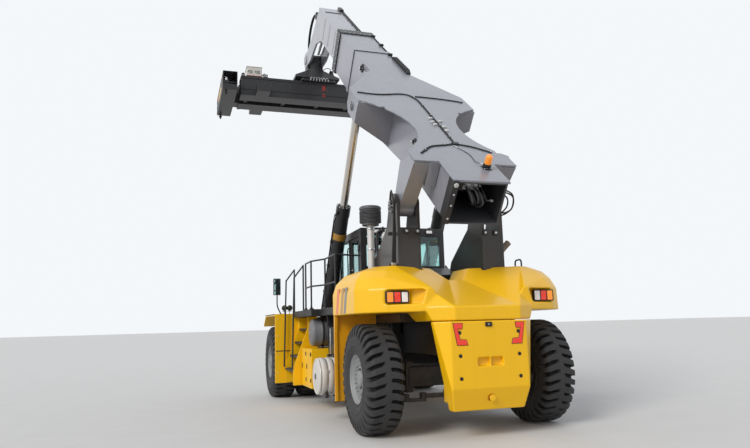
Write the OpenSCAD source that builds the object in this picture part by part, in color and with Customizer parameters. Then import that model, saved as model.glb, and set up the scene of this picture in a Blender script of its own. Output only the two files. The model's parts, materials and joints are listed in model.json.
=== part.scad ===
/* [Chassis] */
// Distance between the steered rear axle and the driven front axle
wheelbase = 6000; // [5600:10:6400]
// Height of the main frame's top face
frame_top = 1750; // [1700:5:1760]
// Depth of the main frame beams
frame_depth = 1030; // [900:5:1100]
// Outer half-width of the main frame beams
frame_half_w = 620; // [580:5:700]
// Width of each main frame beam
beam_w = 160; // [120:5:180]

/* [Wheels] */
// Outer diameter of every tyre, over the lugs
tyre_d = 1630; // [1560:5:1640]
// Section width of every tyre
tyre_w = 560; // [500:5:570]
// Bead diameter of the rims
rim_d = 700; // [660:5:740]
// Distance between the rear tyres' centre planes
rear_track = 2800; // [2760:5:2860]
// Distance over the outer faces of the front twin tyres
front_overall = 4160; // [4100:5:4240]
// Gap between the two tyres of a front pair
twin_gap = 90; // [60:5:110]
// Distance between the two kingpins
kingpin_span = 2100; // [2060:5:2120]
// Length of a tyre lug across the tread
lug_len = 215; // [150:5:240]
// Height of the tyre lugs
lug_h = 38; // [20:1:45]
// Number of lugs on each shoulder
lug_n = 22; // [14:1:24]

/* [Boom] */
// Angle of the boom above level, as the machine stands
boom_angle = 40; // [30:1:50]
// Distance of the boom pivot ahead of the rear axle
pivot_x = 150; // [100:5:200]
// Height of the boom pivot
pivot_z = 3500; // [3480:5:3560]
// Distance from the pivot to the boom's mouth, along the boom
mouth_s = 7450; // [7200:10:7600]
// Height of the boom's top plate over the pivot line
boom_top = 1000; // [960:5:1040]
// Depth of the boom at its mouth
boom_depth = 980; // [940:5:1020]
// Outer half-width of the boom box
boom_half_w = 430; // [420:5:440]
// Plate thickness of the boom
boom_wall = 28; // [20:1:32]
// Distance from the pivot to the head pivot, along the boom, as extended here
head_s = 12000; // [11800:10:12200]
// Height of the head pivot over the pivot line
head_t = -1150; // [-1250:5:-1050]
// Half-width of the inner boom
inner_half_w = 350; // [330:5:360]
// Depth of the inner boom
inner_depth = 760; // [720:5:790]

/* [Lift cylinders] */
// Distance of the lift cylinders from the machine's middle plane
lift_y = 1060; // [1050:5:1080]
// Distance of the cylinders' lower pins ahead of the rear axle
lift_x = 4580; // [4500:5:4640]
// Height of the cylinders' lower pins
lift_z = 1300; // [1250:5:1350]
// Outer diameter of the cylinder barrels
barrel_d = 270; // [240:5:280]
// Diameter of the piston rods
rod_d = 160; // [140:5:170]
// Length of the barrels from the lower pin
barrel_len = 3280; // [3150:10:3300]
// Length of the piston rods up to the eye
rod_len = 3240; // [3150:10:3250]
// Diameter of the cylinder pins
pin_d = 120; // [100:5:130]

/* [Cab] */
// Distance of the cab's back wall ahead of the rear axle
cab_x = 2200; // [2150:10:2260]
// Length of the cab
cab_len = 1750; // [1650:10:1800]
// Half-width of the cab
cab_half_w = 870; // [820:5:875]
// Height of the cab's floor underside
cab_z = 1980; // [1970:5:2010]
// Height of the cab's roof
cab_top = 3480; // [3440:5:3490]
// Thickness of the cab's walls and posts
cab_wall = 60; // [50:1:70]

/* [Spreader] */
// Length over the spreader as it stands, for a twenty-foot box
spreader_len = 6060; // [6040:5:6100]
// Width of the spreader's end beams
spreader_w = 2440; // [2400:5:2460]
// Distance between the twistlocks across the box
lock_w = 2259; // [2240:1:2280]
// Drop from the head pivot to the plane on which the box is locked
spreader_drop = 1750; // [1740:5:1800]
/* [Hidden] */
$fn = 48;

// The rearmost point is the boom's foot and the foremost the spreader's front edge.
head_x = pivot_x + head_s * cos(boom_angle) - head_t * sin(boom_angle);
head_z = pivot_z + head_s * sin(boom_angle) + head_t * cos(boom_angle);
foot_s = -950;
foot_x = pivot_x + foot_s * cos(boom_angle) - boom_top * sin(boom_angle);
front_x = head_x + spreader_w / 2;
origin_x = -(foot_x + front_x) / 2;

tyre_r = tyre_d / 2;
axle_z = tyre_r;
kingpin_y = kingpin_span / 2;
rear_y = rear_track / 2;
twin_outer_y = front_overall / 2 - tyre_w / 2;
twin_inner_y = twin_outer_y - tyre_w - twin_gap;
frame_bottom = frame_top - frame_depth;
gap = 5;
fit = 0.8;
seat = 0.3;
joint_swell = 4;

// Placing helpers: x is measured from the rear axle, y from the middle plane, z from the ground.
module at_machine() { translate([origin_x, 0, 0]) children(); }
module at_boom() {
    at_machine() translate([pivot_x, 0, pivot_z]) rotate([0, -boom_angle, 0]) children();
}
module at_head() { at_machine() translate([head_x, 0, head_z]) children(); }
module both_sides() { children(); mirror([0, 1, 0]) children(); }
module block(x, y, z) {
    translate([x[0], y[0], z[0]]) cube([x[1] - x[0], y[1] - y[0], z[1] - z[0]]);
}
module from_side(y0, y1) {
    translate([0, y1, 0]) rotate([90, 0, 0]) linear_extrude(y1 - y0) children();
}
module from_above(z0, z1) { translate([0, 0, z0]) linear_extrude(z1 - z0) children(); }
module from_rear(x0, x1) {
    translate([x0, 0, 0]) rotate([90, 0, 90]) linear_extrude(x1 - x0) children();
}
module rod_x(x0, x1, y, z, d) { translate([x0, y, z]) rotate([0, 90, 0]) cylinder(h = x1 - x0, d = d); }
module rod_y(x, y0, y1, z, d) { translate([x, y1, z]) rotate([90, 0, 0]) cylinder(h = y1 - y0, d = d); }
module rod_z(x, y, z0, z1, d) { translate([x, y, z0]) cylinder(h = z1 - z0, d = d); }
module strut(a, b, d) {
    v = b - a;
    translate(a) rotate([0, acos(v[2] / norm(v)), atan2(v[1], v[0])]) cylinder(h = norm(v), d = d);
}
module rail(points, d) {
    for (i = [0:len(points) - 2]) strut(points[i], points[i + 1], d);
    for (p = points) translate(p) sphere(d = d + joint_swell, $fn = 24);
}

// Main frame: two deep beams that step in over the steered axle, joined by cross boxes.
rear_beam_y = 240;
rear_beam_w = 180;
rear_beam_top = 1640;
rear_beam_bottom = 1130;
frame_back = -440;
neck_x = 1250;
step_x = [wheelbase - 2070, wheelbase - 1065];
box_x = [step_x[0] - 970, step_x[0] - 30];
tank_front = box_x[0] - 80;
receiver = [box_x[0] + 280, 1490, 540];
canister = [1600, 760, 640];
canister_x = [1300, 1930];
box_in = [1180, 980];
box_z = [420, 1180];
frame_front = wheelbase + 760;
axle_seat_z = axle_z + 235;
lift_ear_y = [lift_y - 175, lift_y + 175];
lift_ear_t = 55;
lift_ear_w = 420;
module main_beam_profile() {
    polygon([
        [neck_x, rear_beam_bottom - 60], [neck_x + 500, frame_bottom], [wheelbase - 950, frame_bottom],
        [wheelbase - 650, axle_seat_z], [frame_front, axle_seat_z], [frame_front, frame_top - 250],
        [wheelbase - 500, frame_top], [neck_x, frame_top]]);
}
lift_eye_r = 130;
module lift_ear_profile() {
    union() {
        polygon([
            [lift_x - lift_ear_w / 2, lift_z - 330], [lift_x + lift_ear_w / 2, lift_z - 330],
            [lift_x + lift_eye_r, lift_z + 60], [lift_x - lift_eye_r, lift_z + 60]]);
        translate([lift_x, lift_z]) circle(r = lift_eye_r);
    }
}
module chassis_frame() {
    color([0.09, 0.09, 0.1]) at_machine() {
        both_sides() {
            from_side(frame_half_w - beam_w, frame_half_w) main_beam_profile();
            block([frame_back, neck_x + 60], [rear_beam_y, rear_beam_y + rear_beam_w],
                [rear_beam_bottom, rear_beam_top]);
            for (y = lift_ear_y) from_side(y - lift_ear_t / 2, y + lift_ear_t / 2) lift_ear_profile();
            block([lift_x - lift_ear_w / 2, lift_x + lift_ear_w / 2],
                [frame_half_w - 10, lift_ear_y[1] + lift_ear_t / 2], [lift_z - 480, lift_z - 330]);
            block([lift_x - 110, lift_x + 110],
                [frame_half_w - 10, lift_ear_y[0]], [lift_z - 340, lift_z - 200]);
            rod_y(lift_x, lift_ear_y[0] - lift_ear_t / 2 - 20, lift_ear_y[1] + lift_ear_t / 2 + 20,
                lift_z, pin_d);
            for (x = [wheelbase - 330, wheelbase + 330])
                block([x - 60, x + 60], [frame_half_w - beam_w, frame_half_w],
                    [axle_seat_z - 40, axle_seat_z + 10]);
        }
        for (x = [box_x[0] + 100, box_x[1] - 200]) {
            block([x, x + 100], [frame_half_w - 1, box_in[0]], [1000, 1100]);
            block([x, x + 100], [-box_in[1], -frame_half_w + 1], [1000, 1100]);
        }
        difference() {
            block([receiver[0] - 90, receiver[0] + 90], [frame_half_w - 1, box_in[0]], [1099, 1280]);
            rod_y(receiver[0], 0, 2000, receiver[1], receiver[2] + 2 * seat);
        }
        difference() {
            for (x = [canister_x[0] + 90, canister_x[1] - 170])
                block([x, x + 80], [frame_half_w - 1, canister[0] + 60], [1000, 1120]);
            rod_x(1200, 2000, canister[0], canister[1], canister[2] + 2 * seat);
        }
        for (x = [neck_x, 2900, wheelbase - 1000, frame_front - 120])
            block([x, x + 120], [-frame_half_w + 20, frame_half_w - 20],
                [axle_seat_z + 60, frame_top - 300]);
        block([frame_back, -300], [-rear_beam_y - 20, rear_beam_y + 20], [rear_beam_bottom, rear_beam_top]);
        block([-180, 180], [-rear_beam_y - 20, rear_beam_y + 20],
            [rear_beam_bottom, rear_beam_bottom + 120]);
        block([600, 720], [-rear_beam_y - 20, rear_beam_y + 20], [rear_beam_bottom, rear_beam_top - 200]);
        block([wheelbase + 300, frame_front - 10], [-frame_half_w, frame_half_w],
            [frame_top - 260, frame_top - 235]);
    }
}

// Drive axle: a banjo housing with tapered arms, on the frame's seats.
axle_arm_y = twin_inner_y - tyre_w / 2 - 25;
spindle_r = 150;
module drive_axle() {
    color([0.12, 0.12, 0.13]) at_machine() {
        translate([wheelbase, 0, axle_z]) rotate([90, 0, 0]) rotate_extrude()
            polygon([
                [0, -axle_arm_y], [230, -axle_arm_y], [230, -axle_arm_y + 90], [175, -axle_arm_y + 140],
                [175, -420], [300, -250], [300, 250], [175, 420], [175, axle_arm_y - 140],
                [230, axle_arm_y - 90], [230, axle_arm_y], [0, axle_arm_y]]);
        both_sides() {
            rod_y(wheelbase, axle_arm_y - 5, twin_outer_y + 190, axle_z, 2 * spindle_r);
            block([wheelbase - 390, wheelbase + 390], [frame_half_w - beam_w + 10, frame_half_w - 10],
                [axle_z + 130, axle_seat_z - 40]);
        }
        rod_x(wheelbase - 560, wheelbase, 0, axle_z, 300);
        rod_x(wheelbase - 700, wheelbase - 550, 0, axle_z, 170);
        translate([wheelbase + 180, 0, axle_z]) sphere(r = 260);
    }
}

// Steered axle: a box beam on a central trunnion, with a fork for each kingpin.
fork_gap = 150;
fork_t = 75;
kingpin_r = 48;
fork_in = 190;
fork_low = axle_z - fork_gap - fork_t;
arm_pin = [-230, kingpin_y - 100];
arm_z = [fork_low - 75, fork_low - 15];
link_z = [arm_z[0] - gap - 45, arm_z[0] - gap];
steer_cyl_x = -290;
steer_cyl_z = fork_low - 45;
steer_cyl_d = 150;
steer_rod_d = 70;
module link_plate(a, b, ra, rb) {
    n = [a[1] - b[1], b[0] - a[0]] / norm(b - a);
    union() {
        polygon([a + n * ra, b + n * rb, b - n * rb, a - n * ra]);
        translate(a) circle(r = ra);
        translate(b) circle(r = rb);
    }
}
module steer_axle() {
    color([0.1, 0.1, 0.11]) at_machine() {
        difference() {
            union() {
                block([-170, 170], [-kingpin_y + fork_in, kingpin_y - fork_in],
                    [axle_z - 140, axle_z + 140]);
                block([-130, 130], [-170, 170], [axle_z + 130, rear_beam_bottom]);
                both_sides() {
                    block([-150, 150], [kingpin_y - fork_in - 60, kingpin_y - fork_in + 45],
                        [axle_z - fork_gap - fork_t, axle_z + fork_gap + fork_t]);
                    for (z = [axle_z + fork_gap, axle_z - fork_gap - fork_t]) {
                        block([-110, 110], [kingpin_y - fork_in, kingpin_y], [z, z + fork_t]);
                        rod_z(0, kingpin_y, z, z + fork_t, 220);
                    }
                }
            }
            both_sides() rod_z(0, kingpin_y, axle_z - 400, axle_z + 400, 2 * (kingpin_r + fit));
        }
        difference() {
            union() {
                rod_y(steer_cyl_x, -330, 330, steer_cyl_z, steer_cyl_d);
                both_sides() {
                    rod_y(steer_cyl_x, 300, 345, steer_cyl_z, steer_cyl_d + 25);
                    from_side(180, 250) polygon([
                        [steer_cyl_x - 50, steer_cyl_z], [steer_cyl_x + 60, steer_cyl_z - 30],
                        [-110, axle_z - 139], [-169, axle_z - 60], [-230, axle_z - 90]]);
                }
            }
            rod_y(steer_cyl_x, -400, 400, steer_cyl_z, steer_rod_d + 2 * fit);
        }
    }
}
rod_reach = 700;
module steer_rod() {
    color([0.75, 0.76, 0.78]) at_machine() {
        rod_y(steer_cyl_x, -rod_reach, rod_reach, steer_cyl_z, steer_rod_d);
        both_sides() {
            rod_z(steer_cyl_x, rod_reach, link_z[0], steer_cyl_z + 50, 100);
            from_above(link_z[0], link_z[1]) link_plate([steer_cyl_x, rod_reach], arm_pin, 50, 45);
        }
    }
}
module knuckle() {
    rod_z(0, kingpin_y, axle_z - fork_gap + gap, axle_z + fork_gap - gap, 210);
    rod_y(0, kingpin_y, rear_y + 140, axle_z, 150);
    rod_z(0, kingpin_y, arm_z[0], axle_z + fork_gap + fork_t + 10, 2 * kingpin_r);
    from_above(arm_z[0], arm_z[1]) link_plate([0, kingpin_y], arm_pin, 95, 50);
}
module knuckle_left() { color([0.12, 0.12, 0.13]) at_machine() knuckle(); }
module knuckle_right() { color([0.12, 0.12, 0.13]) at_machine() mirror([0, 1, 0]) knuckle(); }

// Tyre: a bead, a bulging sidewall and a tread band, with a ring of lugs turned down each shoulder.
tread_r = tyre_r - lug_h;
lug_share = 0.44;
lug_deg = lug_share * 360 / lug_n;
module tyre_profile() {
    w = tyre_w / 2;
    b = rim_d / 2 + seat;
    r = tread_r;
    polygon([
        [b, -w + 60], [b + 45, -w + 22], [b + 130, -w], [r - 140, -w + 4], [r - 45, -w + 34],
        [r, -w + 90], [r, w - 90], [r - 45, w - 34], [r - 140, w - 4], [b + 130, w],
        [b + 45, w - 22], [b, w - 60]]);
}
// A lug's section: along the tread, over the shoulder and down into the sidewall.
module lug_profile() {
    w = tyre_w / 2 - 6;
    polygon([
        [tread_r - 12, w - lug_len], [tyre_r - 6, w - lug_len], [tyre_r, w - lug_len + 12],
        [tyre_r, w - 62], [tyre_r - 16, w - 24], [tyre_r - 66, w], [tread_r - 150, w - 20],
        [tread_r - 60, w - 70], [tread_r - 12, w - 110]]);
}
module tyre() {
    rotate([90, 0, 0]) {
        rotate_extrude() tyre_profile();
        for (i = [0:lug_n - 1]) for (side = [0, 1])
            rotate([0, 0, -90 - lug_deg / 2 + (i + side / 2) * 360 / lug_n]) mirror([0, 0, side])
                rotate_extrude(angle = lug_deg) lug_profile();
    }
}
module rim_profile(offset_w) {
    w = tyre_w / 2 - 62;
    b = rim_d / 2;
    polygon([
        [spindle_r + fit, offset_w - 25], [spindle_r + fit, offset_w + 25], [b - 60, offset_w + 25],
        [b - 60, w - 40], [b - 20, w], [b, w], [b, -w], [b - 20, -w], [b - 60, -w + 40],
        [b - 60, offset_w - 25]]);
}
module wheel_tyre(x, y) { translate([x, y, axle_z]) tyre(); }
module wheel_rim(x, y, offset_w) {
    translate([x, y, axle_z]) rotate([90, 0, 0]) rotate_extrude() rim_profile(offset_w);
}
hub_r = 200;
module front_hub() {
    difference() {
        union() {
            rod_y(wheelbase, twin_inner_y + 30, twin_outer_y + 240, axle_z, 2 * hub_r);
            rod_y(wheelbase, twin_outer_y + 235, twin_outer_y + 262, axle_z, 2 * hub_r - 90);
        }
        rod_y(wheelbase, twin_inner_y - 100, twin_outer_y + 190 + gap, axle_z, 2 * (spindle_r + fit));
    }
}
module rear_hub() {
    difference() {
        rod_y(0, rear_y + 20, rear_y + 190, axle_z, 2 * hub_r - 60);
        rod_y(0, rear_y - 100, rear_y + 140 + gap, axle_z, 150 + 2 * fit);
    }
}
module rear_rim() {
    b = rim_d / 2;
    w = tyre_w / 2 - 62;
    translate([0, rear_y, axle_z]) rotate([90, 0, 0]) rotate_extrude()
        polygon([
            [75 + fit, -115], [75 + fit, -65], [b - 60, -65], [b - 60, w - 40], [b - 20, w], [b, w],
            [b, -w], [b - 20, -w], [b - 60, -w + 40], [b - 60, -115]]);
    rear_hub();
}
module tyre_rear_left() { color([0.16, 0.16, 0.17]) at_machine() wheel_tyre(0, rear_y); }
module tyre_rear_right() { color([0.16, 0.16, 0.17]) at_machine() wheel_tyre(0, -rear_y); }
module rim_rear_left() { color([0.27, 0.28, 0.3]) at_machine() rear_rim(); }
module rim_rear_right() { color([0.27, 0.28, 0.3]) at_machine() mirror([0, 1, 0]) rear_rim(); }
module front_tyres() {
    wheel_tyre(wheelbase, twin_outer_y);
    wheel_tyre(wheelbase, twin_inner_y);
}
module front_rims() {
    wheel_rim(wheelbase, twin_outer_y, -60);
    wheel_rim(wheelbase, twin_inner_y, -60);
    front_hub();
}
module tyres_front_left() { color([0.16, 0.16, 0.17]) at_machine() front_tyres(); }
module tyres_front_right() { color([0.16, 0.16, 0.17]) at_machine() mirror([0, 1, 0]) front_tyres(); }
module rims_front_left() { color([0.27, 0.28, 0.3]) at_machine() front_rims(); }
module rims_front_right() { color([0.27, 0.28, 0.3]) at_machine() mirror([0, 1, 0]) front_rims(); }

// Counterweight: a casting between the rear wheels, wider toward its top.
seam_z = 1632;
weight_back = -1170;
weight_low = 390;
module counterweight() {
    color([0.93, 0.7, 0.1]) at_machine() difference() {
        union() {
            intersection() {
                from_above(weight_low, seam_z) polygon([
                    [weight_back, -600], [weight_back, 600], [-985, 790], [-900, 790], [-900, -790],
                    [-985, -790]]);
                from_rear(-1300, -800) polygon([
                    [-560, weight_low], [560, weight_low], [790, seam_z], [-790, seam_z]]);
                from_side(-900, 900) polygon([
                    [weight_back + 110, weight_low], [-880, weight_low], [-880, seam_z],
                    [weight_back, seam_z],
                    [weight_back, 700]]);
            }
            block([-905, frame_back], [-430, 430], [weight_low + 60, seam_z]);
        }
        for (s = [-1, 1]) {
            block([weight_back - 10, weight_back + 70], [s * 105 - 95, s * 105 + 95], [1000, 1120]);
            for (z = [1470, 1150, 840]) rod_x(weight_back - 10, weight_back + 60, s * 465, z, 44);
        }
        rod_x(weight_back - 10, weight_back + 150, 0, 560, 90);
    }
}

// Rear body: the upper casting with a wing over each wheel and a dished centre panel.
wing_y = 1730;
wing_front = 1060;
wing_low = 1780;
wing_top = 2495;
tower_in = 545;
tower_out = 935;
tower_back = -60;
wing_in = 560;
// The rounded corner between a wing's back and side, at each of its five heights.
corner_low = [[-930, 900], [-790, 1090], [-700, 1380], [-520, 1600], [-250, wing_y]];
corner_waist = [[-930, 800], [-760, 1090], [-690, 1370], [-510, 1590], [-250, wing_y]];
corner_shoulder = [[-700, 800], [-620, 1090], [-560, 1340], [-430, 1530], [-220, 1680]];
corner_crown = [[-460, 750], [-430, 1090], [-390, 1280], [-300, 1430], [-160, 1570]];
corner_top = [[-300, 600], [-300, 1090], [-270, 1180], [-180, 1280], [-60, 1360]];
// Columns: height, front edge, corner.
wing_rows = [
    [wing_low, wing_front, corner_low],
    [2120, wing_front, corner_waist],
    [2290, wing_front - 40, corner_shoulder],
    [2420, wing_front - 170, corner_crown],
    [wing_top, wing_front - 330, corner_top]];
wing_rings = [for (row = wing_rows)
    let (corner = row[2], back = corner[0][0], out = corner[len(corner) - 1][1])
    [row[0], concat(corner, [[row[1], out], [row[1], wing_in], [back, wing_in]])]];
module slice(ring) { translate([0, 0, ring[0]]) linear_extrude(0.01) polygon(ring[1]); }
module wing_shell() { hull() for (ring = wing_rings) slice(ring); }
module centre_shell() {
    hull() {
        slice([rear_beam_top, [
            [weight_back, -520], [weight_back, 520], [-990, 790], [-300, 790], [-300, -790],
            [-990, -790]]]);
        slice([1840, [
            [weight_back, -520], [weight_back, 520], [-930, 880], [-100, 880], [-100, -880],
            [-930, -880]]]);
        slice([wing_top, [[-300, -1090], [-300, 1090], [700, 1090], [700, -1090]]]);
    }
}
module dish() {
    hull() {
        slice([1841, [[weight_back - 1, -519], [weight_back - 1, 519], [weight_back - 0.5, 0]]]);
        slice([2280, [[-140, -120], [-140, 120], [-139, 0]]]);
        slice([wing_top + 10, [[-300, -1085], [-300, 1085], [130, 345], [130, -345]]]);
        slice([wing_top + 300, [[weight_back - 300, -1085], [weight_back - 300, 1085], [130, 345],
            [130, -345]]]);
    }
}
module rear_body() {
    color([0.94, 0.71, 0.11]) at_machine() difference() {
        union() {
            centre_shell();
            both_sides() wing_shell();
        }
        dish();
        from_rear(-300, 1500) polygon([[-120, 2280], [120, 2280], [345, wing_top + 10],
            [-345, wing_top + 10]]);
        block([-120, 1500], [-900, 900], [1500, wing_low]);
        both_sides() {
            block([tower_back - 15, 1500], [tower_in - 10, tower_out + 12], [1500, 2600]);
            block([-900, -668], [1005, 1415], [1895, 2105]);
            from_above(1895, 2105) polygon([[-900, 780], [-668, 1006], [-900, 1006]]);
        }
        block([700, 1500], [-560, 560], [1700, 2600]);
    }
}
module rear_mudguards() {
    color([0.93, 0.7, 0.1]) at_machine() both_sides() {
        from_side(1655, 1705) polygon([[1060, 380], [1110, 380], [1110, wing_low], [1010, wing_low],
            [1060, 1500]]);
        from_side(960, 1655) polygon([[1092, 380], [1110, 380], [1110, wing_low], [1092, wing_low]]);
    }
}
lamp_box = [[-716, -668], [1035, 1385], [1915, 2085]];
lamp_d = 96;
module rear_lamps() {
    at_machine() both_sides() {
        color([0.85, 0.2, 0.1]) from_rear(weight_back - 13, weight_back) polygon([
            [470, 1600], [560, 1600], [540, 1445], [430, 1445], [430, 1480], [505, 1480], [515, 1560],
            [470, 1560]]);
        color([0.1, 0.1, 0.1]) block(lamp_box[0], lamp_box[1], lamp_box[2]);
        color([0.85, 0.3, 0.1]) for (i = [0:2])
            rod_x(lamp_box[0][0] - 22, lamp_box[0][0] + 1, lamp_box[1][0] + 61 + i * 114,
                (lamp_box[2][0] + lamp_box[2][1]) / 2, lamp_d);
    }
}

// Towers: two plates a side with a web between them, bored for the boom's pivot pins.
tower_plate = 50;
platform_top = frame_top + 25;
tower_pin_r = 70;
module tower_profile() {
    union() {
        polygon([
            [tower_back, platform_top], [1640, platform_top], [1200, 2700], [460, 3200],
            [pivot_x + 200, pivot_z],
            [tower_back - 5, pivot_z]]);
        translate([pivot_x, pivot_z]) circle(r = pivot_x - tower_back + 5);
    }
}
module boom_towers() {
    color([0.16, 0.16, 0.17]) at_machine() both_sides() {
        for (y = [tower_in, tower_out - tower_plate]) from_side(y, y + tower_plate) tower_profile();
        block([tower_back, tower_back + 45], [tower_in, tower_out], [platform_top, 3130]);
        from_side(tower_in, tower_out) polygon([
            [1600, platform_top], [1640, platform_top], [1200, 2700], [560, 3135], [520, 3105],
            [1165, 2665]]);
        rod_y(pivot_x, tower_in - 12, tower_out + 12, pivot_z, 2 * tower_pin_r);
        rod_y(pivot_x, tower_out, tower_out + 25, pivot_z, 2 * tower_pin_r + 70);
        block([tower_back - 15, tower_back], [tower_in + 20, tower_in + 90], [3035, 3105]);
        block([tower_back - 15, tower_back], [tower_out - 180, tower_out - 110], [3035, 3105]);
        block([tower_back - 20, neck_x], [rear_beam_y, tower_out + 10], [rear_beam_top, platform_top]);
        block([neck_x - 1, neck_x + 500], [rear_beam_y, tower_out + 10], [frame_top, platform_top]);
    }
}

// Engine and its hood, between the towers and the cab.
module engine_block() {
    color([0.35, 0.35, 0.36]) at_machine() {
        block([1400, 2620], [-430, 430], [axle_z + 100, frame_top - 20]);
        for (x = [1560, 2340])
            block([x, x + 120], [-frame_half_w + beam_w, frame_half_w - beam_w], [1000, 1100]);
    }
}
hood_front = cab_x - 60;
hood_top = 2600;
module engine_hood() {
    color([0.13, 0.13, 0.14]) at_machine() difference() {
        union() {
            from_side(-520, 520) polygon([
                [730, platform_top], [hood_front, platform_top], [hood_front, 2540], [1650, hood_top],
                [1250, hood_top], [730, 2440]]);
            both_sides() block([1760, hood_front], [519, 930], [platform_top, 2420]);
        }
        for (i = [0:6]) both_sides()
            block([1800, hood_front - 40], [905, 960], [1880 + i * 70, 1910 + i * 70]);
        for (i = [0:5]) block([1300 + i * 100, 1350 + i * 100], [-400, 400], [2500, 2700]);
    }
}

// Decks on both sides of the cab, notched round the lift cylinders.
deck_z = 1950;
deck_t = 130;
deck_out = 1700;
deck_in = 1520;
deck_back = 1075;
deck_wide = 2950;
deck_front = step_x[1] + 15;
// The deck starts outside the lift cylinders, and behind them it reaches in to the cab.
slot_back = 3330;
slot_y = lift_y + barrel_d / 2 + 70;
module side_decks() {
    color([0.12, 0.12, 0.13]) at_machine() both_sides() {
        block([deck_back, deck_wide], [960, deck_in], [deck_z - deck_t, deck_z]);
        block([deck_wide - 1, deck_front], [slot_y, deck_out], [deck_z - deck_t, deck_z]);
        block([deck_wide - 50, slot_back], [930, slot_y + 1], [deck_z - deck_t, deck_z]);
        for (x = [1700, deck_wide - 150]) {
            block([x, x + 90], [frame_half_w, 1400], [frame_top - 150, frame_top]);
            block([x, x + 90], [965, 1400], [frame_top - 1, deck_z - deck_t + 1]);
        }
        block([deck_front - 170, deck_front - 80], [frame_half_w, step_in],
            [frame_top - 150, deck_z - deck_t + 1]);
    }
}
step_in = 1365;
step_out = 1880;
step_low = 420;
step_side_t = 35;
step_n = 4;
step_rise = 280;
step_first = 690;
module access_steps() {
    at_machine() both_sides() {
        color([0.12, 0.12, 0.13]) for (i = [0:step_n - 1])
            block([step_x[0] + 30, step_x[1] - step_side_t], [step_in + 35, step_out - i * 110],
                [step_first + i * step_rise, step_first + i * step_rise + 35]);
        color([0.93, 0.7, 0.1]) {
            for (x = [step_x[0], step_x[1] - step_side_t]) from_rear(x, x + step_side_t) polygon([
                [step_in + 15, step_low], [step_out, step_low], [step_out, 760], [1560, 1600],
                [1560, deck_z - deck_t], [step_in + 15, deck_z - deck_t]]);
            block(step_x, [step_in, step_in + 16], [step_low, deck_z - deck_t]);
        }
    }
}
fender_top = 1910;
fender_t = 40;
fender_y = [front_overall / 2 - tyre_w - 20, front_overall / 2 + 10];
fender_back = wheelbase - 1010;
fender_bend = wheelbase + 500;
module front_fenders() {
    color([0.93, 0.7, 0.1]) at_machine() both_sides() {
        block([fender_back, fender_back + fender_t], fender_y, [380, fender_top]);
        block([fender_back, fender_bend], fender_y, [fender_top - fender_t, fender_top]);
        from_side(fender_y[0], fender_y[1]) polygon([
            [fender_bend, fender_top], [fender_bend, fender_top - fender_t],
            [fender_bend + 330, fender_top - 270], [fender_bend + 358, fender_top - 242]]);
        block([step_x[1], fender_back + 1], [fender_y[0], fender_y[0] + 60], [900, 1800]);
    }
}
tank_y = [1380, -1450];
box_y = 1700;
module side_tanks() {
    at_machine() {
        color([0.1, 0.1, 0.11]) {
            block([1950, tank_front], [frame_half_w, tank_y[0]], [880, 1590]);
            block([1300, tank_front], [tank_y[1], -frame_half_w], [620, 1590]);
        }
        color([0.93, 0.7, 0.1]) {
            block(box_x, [box_in[0], box_y], box_z);
            block(box_x, [-box_y, -box_in[1]], box_z);
        }
    }
}
module air_receivers() {
    color([0.55, 0.56, 0.58]) at_machine() {
        rod_y(receiver[0], 930, 1640, receiver[1], receiver[2]);
        rod_y(receiver[0], 1635, 1660, receiver[1], receiver[2] - 100);
        difference() {
            rod_x(canister_x[0], canister_x[1], canister[0], canister[1], canister[2]);
            for (i = [0:5])
                translate([canister_x[0] + 60 + i * 95, canister[0], canister[1]]) rotate([0, 90, 0])
                    rotate_extrude() translate([canister[2] / 2, 0])
                        polygon([[-14, 0], [5, 0], [5, 40], [-14, 40]]);
        }
    }
}
intake = [1132, 1003];
intake_low = 3340;
intake_r = 195;
fin_n = 8;
fin_pitch = 30;
module air_cleaner() {
    color([0.3, 0.3, 0.32]) at_machine() {
        translate([intake[0], intake[1], intake_low]) {
            translate([0, 0, 60]) rotate_extrude() polygon(concat(
                [[0, 0]],
                [for (i = [0:fin_n - 1]) for (q = [[0, 0], [0, 16], [-14, 20], [-14, 26]])
                    [intake_r + q[0], i * fin_pitch + q[1]]],
                [[intake_r, fin_n * fin_pitch], [intake_r - 30, fin_n * fin_pitch + 50],
                [0, fin_n * fin_pitch + 50]]));
            cylinder(h = 61, r = intake_r - 45);
        }
        rod_z(intake[0], intake[1], deck_z, intake_low + 1, 124);
        rod_z(1450, 480, hood_top, 3230, 270);
        rod_z(1450, 480, 3229, 3280, 200);
    }
}
module exhaust_pipe() {
    color([0.3, 0.24, 0.2]) at_machine() {
        rod_z(330, -1080, wing_top + seat, 2800, 110);
        translate([330, -1080, 2800]) sphere(d = 110 + joint_swell);
        strut([330, -1080, 2800], [330, -1250, 2960], 110);
    }
}

// Cab: walls, posts and roof with the windows and the doorway cut through.
sill_z = 2720;
head_rail_z = 3330;
door_x = [cab_x + 110, cab_x + 720];
door_low = cab_z + 90;
door_gap = 6;
door_rim = 70;
door_hinge = [door_x[0] - 14, cab_half_w + 16];
door_hole = [[door_x[0] + door_gap + door_rim, door_x[1] - door_gap - door_rim],
    [cab_half_w - 200, cab_half_w + 100], [2420, head_rail_z - 80]];
module cab_outline() {
    polygon([
        [cab_x, cab_z], [cab_x + cab_len - 260, cab_z], [cab_x + cab_len, cab_z + 420],
        [cab_x + cab_len - 130, cab_top], [cab_x, cab_top]]);
}
module cab_inside() {
    w = cab_wall;
    polygon([
        [cab_x + w, cab_z + w], [cab_x + cab_len - 260 - w / 3, cab_z + w],
        [cab_x + cab_len - w, cab_z + 420 + w / 3], [cab_x + cab_len - 130 - w, cab_top - w],
        [cab_x + w, cab_top - w]]);
}
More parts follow.
